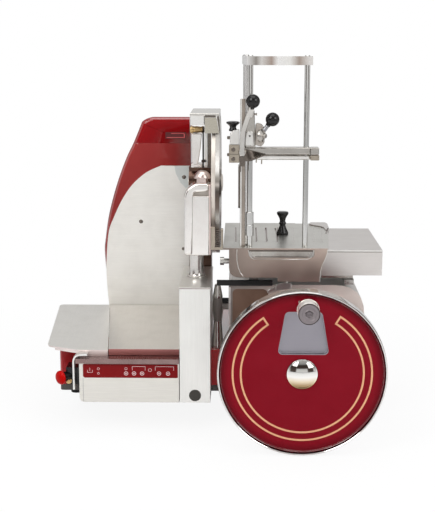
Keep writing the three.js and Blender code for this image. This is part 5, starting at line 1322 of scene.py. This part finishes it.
@dataclass
class Press(Assembly):
    """The rods, the sliding arm, the levers and the knobs of the meat press.

    Attributes:
        table: Height of the table.
        rod_y: Place of the two front rods in Y.
        arm_front: Place of the arm's front in Y.
        arm_back: Place of the arm's back.
        arm_low: Lower face of the arm's lower bar.
        arm_high: Upper face of the arm's upper bar.
    """

    table: float = 359.8
    rod_y: float = -185
    arm_front: float = -202
    arm_back: float = -172
    arm_low: float = 555.6
    arm_high: float = 584

    def build(self) -> None:
        """Builds the rods, the arm, the two levers and the knobs."""
        for name, x, collar in (("rod_left", 72, True), ("rod_right", 196.5, False)):
            profile: list[Point2] = [(0, self.table), (6, self.table)]
            if collar:
                profile += [(6, 383.4), (8.4, 383.8), (9, 384.6), (9, 408), (8.5, 408.6), (8.5, 410),
                            (9, 410.6), (9, 437), (8.4, 437.8), (6, 438.2)]
            profile += [(6, 782.6), (5, 784), (0, 784)]
            Shape().turn(Z, (x, self.rod_y), profile, 48).finish(f"{name}_bar", "table", Turned(
                f"{name}_steel", tone(210, 209, 206), 0.12, axis=Z, centre=(x, self.rod_y, 0), pitch=1.4,
                depth=0.3,
            ), "shaft_steel", name)
        Shape().block((50, -190.5, self.table - 0.3), (61.4, -184.5, 690), 1.2).finish(
            "guide_bar", "table", PAINTS.guide, "shaft_steel")
        Shape().block((50.6, -191, self.table - 0.3), (53.6, -190.3, 690), 0.2).finish(
            "guide_edge", "table", PAINTS.jaw_light, "shaft_steel")
        self.arm()
        self.jaws()
        self.tower()
        self.release()
        self.clamp()
        self.knobs()

    def arm(self) -> None:
        """Builds the arm's two bars, its root and the clamp at its right end."""
        front, back, low, high = self.arm_front, self.arm_back, self.arm_low, self.arm_high
        split = low + 12.4
        Shape().slab(Z, [
            (50, front + 6, 3), (90, front + 6.5), (205.4, front + 2.5), (205.4, back + 6), (50, back),
        ], split, high - 0.4, 5.2, 6, 40).finish("arm_upper_bar", "press", PAINTS.arm, "cast", "press_arm")
        Shape().block((86, front + 10, low), (206, back + 2, split - 1.2), 4, 5).finish(
            "arm_lower_bar", "press", PAINTS.jaw_light, "cast", "press_arm", smooth=50)
        root = Shape().slab(Y, [
            (48.4, 542), (60, 542), (60, low - 2, 3), (74, low - 2, 3), (106, low + 11, 4),
            (106, low + 14, 2), (66, high - 4, 4), (48.4, high - 1),
        ], front + 3, back, 2.4, 4)
        root.finish("arm_root", "press", PAINTS.arm_dim, "cast", "press_arm")
        Shape().block((205, front, split), (224.3, back, high - 0.2), 2.2, 4).finish(
            "arm_end_upper", "press", PAINTS.arm, "cast", "press_arm")
        Shape().block((205, front + 1, low), (225, back, split - 0.8), 2, 4).finish(
            "arm_end_lower", "press", PAINTS.jaw, "cast", "press_arm")
        drops = Shape()
        for x, reach in ((86, 549), (98, 546)):
            drops.rod((x, -186, split), (x, -186, reach), 1.3, edge=0.3, sides=16)
        drops.finish("arm_pins", "press", PAINTS.jaw, "cast")

    def jaws(self) -> None:
        """Builds the two blocks that hold the toothed plate, with their screws."""
        front, back = self.arm_front, -176
        Shape().slab(Y, [
            (27.4, 590.4), (48.4, 590.4), (48.4, 622.8, 2), (36, 622.8, 3), (27.4, 613, 3),
        ], front, back, 1.4).finish("jaw_upper", "press", PAINTS.jaw_light, "cast", "press_arm")
        Shape().block((25.4, front, 550.3), (48.6, back, 589.6), 1.6).finish(
            "jaw_lower", "press", PAINTS.jaw, "cast", "press_arm")
        screws = Shape()
        for z in (579.6, 558.6):
            head = Shape().turn(Y, (35, z), [(0, -1.5), (3.8, -1.5), (4.8, -0.8), (4.8, 1), (0, 1)], 40,
                                base=front)
            head.carve(Shape().block((29, front - 3, z - 0.7), (41, front - 0.5, z + 0.7)))
            screws.add(head)
        for z in (604.6, 567):
            screws.turn(X, (-189, z), [(0, 21), (2.6, 21), (3.6, 22), (3.6, 28), (0, 28)], 32)
        screws.finish("jaw_screws", "press", PAINTS.arm_dim, "cast", "press_arm", smooth=40)
        seam = Shape().block((26.4, front - 0.25, 568.6), (47.6, front + 1, 569.6))
        seam.finish("jaw_seam", "press", PAINTS.dark, "cast")

    def tower(self) -> None:
        """Builds the tower that the two levers act on."""
        front, back = self.arm_front, self.arm_back
        Shape().slab(Y, [
            (60.6, 583), (84, 583), (83, 620), (81.2, 667, 4), (70, 669, 4), (61.6, 625),
        ], front + 5, back, 2.4, 4).finish("tower", "press", PAINTS.arm, "cast", "press_arm")
        face = Shape().slab(Y,
                            [(60.8, 588), (80, 588), (80, 604, 5), (78, 620.6, 5), (64, 620.6, 5), (61, 604)],
                            front, front + 8, 1.8, 4)
        face.finish("tower_face", "press", PAINTS.jaw_light, "cast", "press_arm")
        # A dark disc stands in for the hole in the tower's face: painted shade.
        marks = Shape().turn(Y, (71, 609.6), [(0, -0.2), (2.1, -0.2), (2.1, 1), (0, 1)], 32, base=front)
        marks.finish("tower_hole", "press", PAINTS.dark, "cast")
        Shape().slab(Y, [
            (82, 589), (97, 585.5), (104, 594), (104, 626, 4), (95, 637, 6), (84, 636, 4),
        ], front + 8, back, 2.4, 4).rod((78, -190, 656.5), (87, -190, 656.5), 2, edge=0.5).rod(
            (85, -190, 656.5), (87, -190, 656.5), 3, edge=0.6,
        ).finish("tower_side", "press", PAINTS.pink_jaw, "cast", "press_arm")

    @staticmethod
    def release() -> None:
        """Builds the release lever: a broad strap in a fork, with a black ball."""
        far = -202.3
        strap = [(49, 566, 3), (60, 566, 3), (59.8, 590), (61.8, 619), (69, 645), (75.6, 661), (78.4, 671),
                 (71, 674), (62.4, 657), (55, 634), (49.8, 617), (48.6, 590)]
        shape = Shape().slab(Y, strap, -212.4, -205.6, 1.6, 4, 60)
        shape.slab(Y, [(61, 653, 3), (76, 650, 3), (81, 668, 3), (70, 674, 3)], -214, -203, 1.6, 3)
        shape.turn(Y, (55, 574),
                   [(5.3, -212), (6, -212), (6.6, -211.4), (9, far - 6), (9, far - 1), (8, far), (5.3, far)],
                   48, ring=True)
        shape.finish("release_strap", "release", PAINTS.strap, "chrome", "release_lever", smooth=40)
        Shape().ball((77.7, -209, 685.8), 15.3).rod(
            (74.4, -209, 668), (76.4, -209, 678), 5.6, 6.4, 0.6,
        ).finish("release_ball", "release", PAINTS.black, "black", "release_lever")

    @staticmethod
    def clamp() -> None:
        """Builds the clamp lever: a tilted disc with a hexagon, a dim stem and a black ball."""
        near, far = -203, -185.3
        hub = Shape().turn(Y, (96, 613), [
            (5.3, near), (9.5, near), (10.5, near + 1), (10.5, far - 1), (9.5, far), (5.3, far),
        ], 48, ring=True)
        hub.turn(Y, (96, 613), [(0, near + 1), (6, near + 1), (6, near - 0.2), (0, near - 0.2)], 48)
        disc = Shape().turn(X, (0, 0), [
            (0, -3.4), (13.6, -3.4), (14.7, -2.4), (14.7, 0.6), (13.8, 1.8), (9, 3.4), (6, 5.4), (0, 5.4),
        ], 72)
        disc.slab(X, hexagon(5.6), 5, 11.4, 0.7)
        place = Matrix.Translation((97, -204.4, 610.4)) @ Matrix.Rotation(radians(-34), 4, "Z")
        hub.add(disc.placed(place))
        hub.finish("clamp_hub", "clamp", PAINTS.arm, "chrome", "clamp_lever", smooth=40)
        Shape().rod((99, -196.2, 617), (112.6, -194.2, 634.6), 5, 4.4, 0.4).finish(
            "clamp_stem", "clamp", PAINTS.gear, "chrome", "clamp_lever", smooth=40)
        Shape().ball((121, -194.2, 645.4), 15.3).rod(
            (110, -194.2, 631.4), (114, -194.2, 636.6), 5.4, 6.2, 0.6,
        ).finish("clamp_ball", "clamp", PAINTS.black, "black", "clamp_lever")

    @staticmethod
    def knobs() -> None:
        """Builds the knob of the toothed plate and the knob on the table."""
        x, y, low = 34, -189, 619.3
        Shape().turn(Z, (x, y), [
            (0, 0), (8, 0), (9, 0.8), (9, 3), (7.6, 6), (6.8, 9), (8.4, 12), (12, 15), (14.6, 17), (15, 18.4),
            (14.4, 20.2), (11, 21.4), (6, 21.9), (0, 22),
        ], 64, base=low).finish("tooth_knob", "tooth_knob", PAINTS.black, "black", "clamp_knob", smooth=40)
        x, y, low = 152, -32, Press.table
        Shape().turn(Z, (x, y), [
            (0, 0), (13.2, 0), (14, 0.8), (14, 4), (13, 6.4), (10.4, 12), (8, 18), (6.8, 22), (7.4, 24.6),
            (8.5, 26), (8.5, 28), (7.2, 29.6), (6.6, 33), (7.6, 38), (10.4, 44), (13.2, 48), (14, 50.4),
            (13.8, 53), (12, 54.6), (8, 55), (0, 55),
        ], 64, base=low).finish("lock_knob", "lock_knob", PAINTS.black, "black", "table_knob", smooth=40)


@dataclass
class Sharpener(Assembly):
    """The roof over the blade and the sharpener under it.

    Attributes:
        roof: Height of the roof's top.
        front: Place of the roof's front in Y.
        back: Place of its back.
        wall: Thickness of its sheet.
    """

    roof: float = 652
    front: float = -100
    back: float = 70
    wall: float = 2

    def build(self) -> None:
        """Builds the roof, the sharpener's body, its lever, its spindle and its stone."""
        self.cover()
        body = Shape().slab(
            Y, [(-66, 598.8, 2), (-40.6, 598.8, 2), (-43.6, 565), (-50, 526), (-62.8, 526), (-65.2, 560)],
            -30.5, -14, 3, 5, 40)
        body.block((-66.4, -30.5, 518.3), (-40, 10, 528.4), 2.6, 4)
        body.finish("sharpener_body_fine", "frame", PAINTS.post, "cast", "sharpener_body", smooth=45)
        Shape().block((-62, -16, 519), (-51, 10, 597), 2).finish(
            "sharpener_stem", "frame", PAINTS.dark_casting, "cast", "sharpener_body")
        Shape().rod((-37.5, -25, 518.3), (-37.5, -25, 614.3), 2, edge=0.4).block(
            (-37.5, -27, 531), (-29, -23, 538), 1,
        ).block((-41.6, -35, 532), (-34, -32, 538), 1.2).block((-39, -33, 533), (-36, -24, 537), 0.6).finish(
            "sharpener_link", "stone_lever", PAINTS.dark_steel, "gear_steel", "sharpener_lever", smooth=40)
        Shape().block((-34.4, -27, 519), (-28, -24, 612), 0.8).finish(
            "sharpener_strip", "stone_lever", PAINTS.jaw_light, "gear_steel", "sharpener_lever")
        Shape().block((-27.6, -22, 519), (-18.6, -19, 600), 0.8).finish(
            "sharpener_back_strip", "frame", PAINTS.arm_dim, "cast")
        centre = (-8, 607)
        Shape().turn(X, centre, [
            (0, -69), (7, -69), (8, -68), (8.5, -66.4), (8.5, -61), (7.8, -60), (8.4, -54), (7.6, -47),
            (7.2, -44), (7.2, -42), (8.4, -41), (8.5, -37), (7.6, -36), (6, -35), (5, -34), (5, -12),
            (0, -12),
        ], 48).finish("spindle_brass", "stone", PAINTS.brass, "brass", "grinding_spindle", smooth=40)
        Shape().turn(X, centre, [
            (0, -11.8), (5.4, -11.8), (5.6, -11.6), (16.4, -11.6), (17, -11), (17, -7.2), (16.4, -6.6),
            (0, -6.6),
        ], 64).finish("grinding_wheel", "stone", PAINTS.grindstone, "gear_steel", "grinding_spindle")

    def cover(self) -> None:
        """Builds the roof as two open boxes, with the plate on the front of the deeper one."""
        front, back, roof, wall = self.front, self.back, self.roof, self.wall
        Shape().block((-65.6, front, roof - 6.4), (2.6, back, roof), 2.2, 4).finish(
            "roof", "frame", PAINTS.roof, "brushed", "top_cover")
        for name, left, right, low in (("roof_left", -64.8, -32.4, 624.6), ("roof_right", -32, 2.2, 606)):
            box = Shape().block((left, front + 0.8, low), (right, back - 1, roof - 5), 1.2)
            box.carve(Shape().block((left + wall, front + wall, low - 5),
                                    (right - wall, back - wall, roof - 7)))
            box.finish(name, "frame", PAINTS.cover_sheet, "brushed", "top_cover", smooth=40)
        plate = Shape().slab(Y, [(-31, 606.6), (1.6, 606.6), (-4.6, roof - 10), (-31, roof - 10)],
                             front - 0.6, front, 0.3, 2)
        plate.finish("roof_plate", "frame", PAINTS.roof_plate, "brushed")
        # A dark strip below the roof's front edge is painted shadow in the groove there.
        Shape().slab(Y, [
            (-31, roof - 9.4), (-6, roof - 9.4), (-6, roof - 4.4), (-31, roof - 4.4),
        ], front - 0.4, front, 0.2, 2).finish("roof_shadow_strip", "frame", PAINTS.arm_dim, "brushed")
        Shape().slab(
            Y, [(2, 610), (3.2, 610), (1.6, roof - 7), (-3.6, roof - 7)], front - 0.4, front, 0.2, 2,
        ).finish("roof_edge", "frame", PAINTS.arm_dim, "brushed")


@dataclass
class SlideTrim(Assembly):
    """The small fittings between the column and the slide, and on the front of the slide and the table.

    Attributes:
        front: Place of the housing's front in Y.
        apron: Place of the table apron's front in Y.
    """

    front: float = -175
    apron: float = -208.7

    def build(self) -> None:
        """Builds the bumper, the stay's strap, the latch, the housing's panel and the painted highlights on
        the apron's edges.
        """
        front = self.front
        Shape().block((-2, front - 6, 266.6), (125, front - 0.2, 279.6), 1.4).finish(
            "slide_bumper", "frame", PAINTS.rubber, "black")
        Shape().block((-10, -156, 219.6), (26, -146, 230.6), 1.2).finish(
            "stay_strap", "frame", PAINTS.rubber, "black")
        latch = Shape().slab(Y, [(132, 256, 2), (168, 258, 3), (168, 274, 2), (150, 276, 2), (132, 270, 4)],
                             front - 7, front, 1.8, 4)
        latch.slab(Y, [(112, 249, 4), (134, 256, 3), (134, 264, 3), (116, 259, 5)], front - 6, front - 1, 1.8,
                   4)
        latch.rod((158, front - 4, 272), (158, front - 4, 280), 2.6, edge=0.6)
        latch.finish("slide_latch", "frame", PAINTS.jaw_light, "cast", smooth=45)
        Shape().slab(
            Y, [(34, 114), (116, 114), (116, 258, 14), (34, 258, 10)], front - 1.2, front, 0.9, 3,
        ).finish("housing_panel", "frame", PAINTS.housing_panel, "cast")
        Shape().block((25.2, front - 1, 150), (30, front - 0.1, 262), 0.8).finish(
            "housing_edge", "frame", PAINTS.jaw_light, "cast")
        face = self.apron
        left = [(44, 357), (43.4, 346), (44, 331), (47, 315), (52, 303), (58, 295)]
        right = [(246.4, 357.6), (246, 349), (241, 334), (234.6, 320), (231.4, 306), (230.6, 292),
                 (230.4, 283.6)]
        slot = [(69, 355), (72, 344), (76, 337.6), (82, 334.6), (202, 334.6), (209, 338), (213, 345),
                (215, 354)]
        # Light beads along the apron's curved edges are painted highlights.
        edges = Shape()
        for path in (left, right, slot):
            for here, there in zip(path, path[1:]):
                edges.rod((here[0], face - 0.2, here[1]), (there[0], face - 0.2, there[1]), 0.8, sides=12)
                edges.ball((there[0], face - 0.2, there[1]), 0.8, rings=6)
        edges.finish("apron_edge_highlights", "table", PAINTS.jaw_light, "brushed", smooth=60)
        Shape().slab(
            Y, [(74, 354.6), (211, 354.6), (205, 338, 6), (80, 338, 6)], face - 0.3, face, 0.1, 1,
        ).finish("apron_recess", "table", PAINTS.arm, "brushed")
        lines = Shape().block((70, face - 0.6, 352), (214, face, 355))
        lines.block((84, face - 0.6, 339), (202, face, 341))
        lines.finish("apron_recess_lines", "table", PAINTS.arm_dim, "brushed")
        Shape().block((234, -203.6, 291), (305, -203, 296.6), 0.2).finish(
            "carriage_strip", "slide", PAINTS.arm, "brushed")
        Shape().block((246.6, -203.7, 351.4), (370, -202.8, 355), 0.4).finish(
            "carriage_lip", "slide", PAINTS.jaw_light, "brushed")
        Shape().block((246.6, -203.4, 350), (369, -203, 351.2)).finish(
            "carriage_lip_shade", "slide", PAINTS.arm_dim, "brushed")
        self.table_top()
        Shape().turn(Z, (-0.5, -150), [
            (0, 113.6), (13.4, 113.6), (13.4, 116.6), (9.4, 171), (9.6, 180), (11.4, 235), (11, 238),
            (6.4, 263), (0, 263.4),
        ], 48).finish("stay_sleeve", "frame", PAINTS.steel, "cast", smooth=40)

    def table_top(self) -> None:
        """Builds the slots as dark strips of painted shade, the fine lines and the raised tab of the table's
        top.
        """
        top = 359.5
        # The slots are dark strips of painted shade in the grooves.
        for name, starts, width, finish in ((
            "table_slot_shade", ((39.5, 38.5), (86.6, 89), (110.1, 114.3), (135.1, 141.1)), 3, PAINTS.dark_casting,
        ), ("table_lines", ((173, 181.7), (220, 232.3), (238.5, 252)), 1.3, PAINTS.arm)):
            marks = Shape()
            for near, far in starts:
                marks.slab(Z, [(near, -129), (near + width, -129), (far + width, 60), (far, 60)], top - 0.2,
                           top + 0.2)
            marks.finish(name, "table", finish, "brushed")
        Shape().slab(Z, [
            (224, 100), (228, 127.6, 4), (266, 127.6, 4), (270, 108, 3), (269.4, 58), (260, 16), (256, 62, 8),
        ], top, top + 2.6, 0.8, 3).finish("table_tab", "table", PAINTS.carriage, "brushed")
        Shape().slab(Z, [(266.6, 58), (270, 58), (258, -22), (255, -22)], top - 0.2, top + 0.3).finish(
            "table_tab_cut", "table", PAINTS.dark_casting, "brushed")


@dataclass
class Controls(Assembly):
    """The red panel with its keys, and the stop button.

    Attributes:
        left: Place of the panel's left side.
        right: Place of its right side.
        low: Its lower edge.
        high: Its upper edge.
        front: Place of its front in Y.
    """

    left: float = -302
    right: float = -88
    low: float = 70
    high: float = 102
    front: float = -256.5

    def build(self) -> None:
        """Builds the panel, its marks and the button."""
        corners = [(self.left, self.low, 5), (self.right, self.low, 3), (self.right, self.high, 3),
                   (self.left, self.high, 3)]
        Shape().slab(Y, corners, self.front, self.front + 1.2, 0.3, 2).finish(
            "key_panel", "frame", PAINTS.panel, "panel", "control_panel")
        marks = Shape()
        near, far = self.front - 0.16, self.front + 0.1
        for x in (-204.7, -186.7, -168.6, -130.3, -110.1):
            marks.turn(Y, (x, 80.6), [(3.4, near), (4.6, near), (4.6, far), (3.4, far)], 32, ring=True)
            marks.turn(Y, (x, 80.6), [(0, near), (1.5, near), (1.5, far), (0, far)], 16)
        for low_x, high_x in ((-191, -161), (-139, -97)):
            marks.block((low_x, near, 96.4), (high_x, far, 97.2))
            marks.block((low_x, near, 88), (low_x + 0.8, far, 97.2))
            marks.block((high_x - 0.8, near, 88), (high_x, far, 97.2))
        for x, z, size in ((-204.7, 91.6, 3.4), (-150.6, 88.6, 4.4), (-267, 91, 3.2), (-267, 80.4, 2.8)):
            marks.turn(Y, (x, z), [(size - 0.8, near), (size, near), (size, far), (size - 0.8, far)], 6,
                       ring=True)
        for (low_x, low_z), (high_x, high_z) in (((-292, 82), (-280, 82.8)), ((-292, 82), (-291.2, 88)),
                                                 ((-280.8, 82), (-280, 88)), ((-286.6, 86), (-285.8, 93.4))):
            marks.block((low_x, near, low_z), (high_x, far, high_z))
        marks.finish("key_marks", "frame", PAINTS.print_white, "panel")
        Shape().block((-302.6, -255.6, 13.4), (-302, -255, 69), 0).finish(
            "box_fold", "frame", PAINTS.gear, "brushed")
        Shape().turn(Y, (-337, 56.5), [
            (0, -246), (4, -246), (5, -245.2), (5, -240.6), (6.6, -240.4), (6.6, -238), (0, -238),
        ], 32).finish("stop_bolt", "frame", PAINTS.brass, "brass", smooth=40)
        turn = Matrix.Rotation(radians(45), 4, "Z") @ Matrix.Rotation(radians(-90), 4, "Y")
        place = Matrix.Translation((-344.0, -238.0, 67.0)) @ turn
        Shape().turn(Z, (0, 0), [
            (0, 4.6), (6, 4.6), (6, 11), (13.6, 11), (15.2, 11.3), (16, 12.2), (16, 14.6), (15.4, 16.6),
            (13.8, 18.8), (11, 20.6), (7, 21.6), (3, 21.95), (0, 22),
        ], 72).placed(place).finish("stop_cap", "stop", PAINTS.stop, "stop_red", "stop_button", smooth=40)


@dataclass
class Studio:
    """The floor, the lamps, the world and the camera.

    Attributes:
        lens: The camera's lens in millimetres.
        eye: Where the camera stands, in metres.
        pitch: How far it looks down, in degrees.
        yaw: How far it looks to the left, in degrees.
        floor: Height of the floor, in metres.
        dim: Colour of the dim bands that bright metal shows.
        sky: Colour of the light from all round.
        sky_strength: Its strength.
    """

    lens: float = 77.34
    eye: Corner = (0.0509, -2.6269, 0.8291)
    pitch: float = 11.4
    yaw: float = 1.2
    floor: float = -0.056
    dim: Rgb = (0.11, 0.085, 0.075)
    sky: Rgb = (0.97, 0.98, 1.0)
    sky_strength: float = 0.62

    def build(self) -> None:
        """Sets up the studio."""
        scene = bpy.context.scene
        scene.view_settings.view_transform = "Standard"
        data = bpy.data.cameras.new("camera")
        data.lens, data.sensor_width = self.lens, 36.0
        camera = bpy.data.objects.new("camera", data)
        camera.location = self.eye
        camera.rotation_euler = (radians(90 - self.pitch), 0, radians(self.yaw))
        scene.collection.objects.link(camera)
        scene.camera = camera
        self.world(scene)
        for name, place, aim, size, power in (("key", (-1.6, -2.2, 2.4), (0, 0, 0.3), (1.6, 1.6), 44),
                                              ("fill", (2.0, -1.8, 1.6), (0, 0, 0.3), (1.4, 1.4), 26),
                                              ("top", (0.0, -0.4, 2.8), (0, 0, 0.2), (2.2, 2.0), 24)):
            self.lamp(scene, name, place, aim, size, power)
        self.lay_floor(scene)

    @staticmethod
    def lamp(scene: bpy.types.Scene, name: str, place: Corner, aim: Corner, size: Point2,
             power: float) -> None:
        """Hangs a soft lamp.

        Args:
            scene: The scene.
            name: The lamp's name.
            place: Where it hangs, in metres.
            aim: The point that it faces.
            size: Its width and height.
            power: Its power in watts.
        """
        light = bpy.data.lights.new(name, "AREA")
        light.shape, light.energy = "RECTANGLE", power
        light.size, light.size_y = size
        lamp = bpy.data.objects.new(name, light)
        lamp.location = place
        lamp.rotation_euler = (Vector(aim) - Vector(place)).to_track_quat("-Z", "Y").to_euler()
        scene.collection.objects.link(lamp)

    def world(self, scene: bpy.types.Scene) -> None:
        """Makes a white surround, with dim bands between the soft lamps for bright metal to show."""
        world = bpy.data.worlds.new("studio")
        scene.world = world
        world.use_nodes = True
        world.node_tree.nodes.clear()
        tree = Tree(world.node_tree)
        step = tree.math

        def rise(value: Socket, low: float, high: float) -> Socket:
            """Rises from 0 to 1 between two values."""
            inputs = {"Value": value, "From Min": low, "From Max": high}
            return tree.node("MapRange", inputs, interpolation_type="SMOOTHSTEP").outputs[0]

        def light(colour: Corner | Socket, strength: float = 1.0) -> Socket:
            """Makes a background of one colour."""
            return tree.node("Background", {"Color": colour, "Strength": strength}).outputs[0]

        x, y, z = tree.parts("Generated")
        across = step("ABSOLUTE", step("MULTIPLY", x, y))
        level = step("ADD", step("MULTIPLY", x, x), step("MULTIPLY", y, y))
        diagonal = step("MULTIPLY", step("DIVIDE", across, step("MAXIMUM", level, 0.001)), 2.0)
        narrow = step("SUBTRACT", diagonal, step("MULTIPLY", rise(y, -0.2, 0.2), -0.1))
        corners = step("MULTIPLY", rise(narrow, 0.74, 0.9), step("SUBTRACT", 1.0, rise(z, 0.45, 0.7)))
        ahead = step("MULTIPLY", rise(z, 0.24, 0.32), step("SUBTRACT", 1.0, rise(z, 0.55, 0.68)))
        ahead = step("MULTIPLY", ahead, step("SUBTRACT", 1.0, rise(y, -0.5, -0.3)))
        bright = step("SUBTRACT", 0.96, step("MULTIPLY", rise(y, -0.1, 0.25), 0.22))
        bright = step("SUBTRACT", bright, step("MULTIPLY", rise(z, 0.45, 0.7), 0.28))
        grey = tree.node("CombineXYZ", dict.fromkeys(range(3), bright)).outputs[0]
        inputs = {0: step("MAXIMUM", corners, ahead), 6: grey, 7: (*self.dim, 1)}
        bands = tree.node("Mix", inputs, data_type="RGBA").outputs[2]
        path = tree.node("LightPath").outputs
        seen = step("MAXIMUM", path["Is Glossy Ray"], path["Is Transmission Ray"])
        around = tree.merge(seen, light((*self.sky, 1), self.sky_strength), light(bands))
        tree.node("OutputWorld", {0: tree.merge(path["Is Camera Ray"], around, light(WHITE))})

    def lay_floor(self, scene: bpy.types.Scene) -> None:
        """Lays a plain pale floor that keeps a faint shadow of the machine."""
        part = bmesh.new()
        place = Matrix.Translation((0, 0, self.floor))
        bmesh.ops.create_grid(part, x_segments=1, y_segments=1, size=8.0, matrix=place)
        data = bpy.data.meshes.new("floor")
        part.to_mesh(data)
        part.free()
        floor = bpy.data.objects.new("floor", data)
        scene.collection.objects.link(floor)
        graph = Graph("floor")
        graph.set({"Base Color": (0.86, 0.86, 0.86, 1), "Roughness": 0.9})
        away = graph.node("VectorMath", {0: graph.object_place}, operation="LENGTH").outputs["Value"]
        glow = graph.node("Emission", {"Color": WHITE}).outputs[0]
        near = graph.spread(away, 0.9, 1.0, 0.45, 1.1)
        seen = graph.math("MULTIPLY", graph.node("LightPath").outputs["Is Camera Ray"], near)
        nodes = graph.tree.nodes
        floor_light = graph.merge(seen, graph.shader.outputs[0], glow)
        graph.tree.links.new(floor_light, nodes["Material Output"].inputs["Surface"])
        data.materials.append(graph.material)


def main() -> None:
    """Builds the studio and the machine, group by group."""
    logging.basicConfig(level=logging.INFO, format="%(name)s %(message)s")
    Studio().build()
    for group in (Wheel(), PlainSolids(), Blade(), DriveCover(), GuardPost(), Press(), Sharpener(),
                  SlideTrim(), Controls()):
        group.build()
        log.info("%s built", type(group).__name__)


if __name__ == "__main__":
    main()
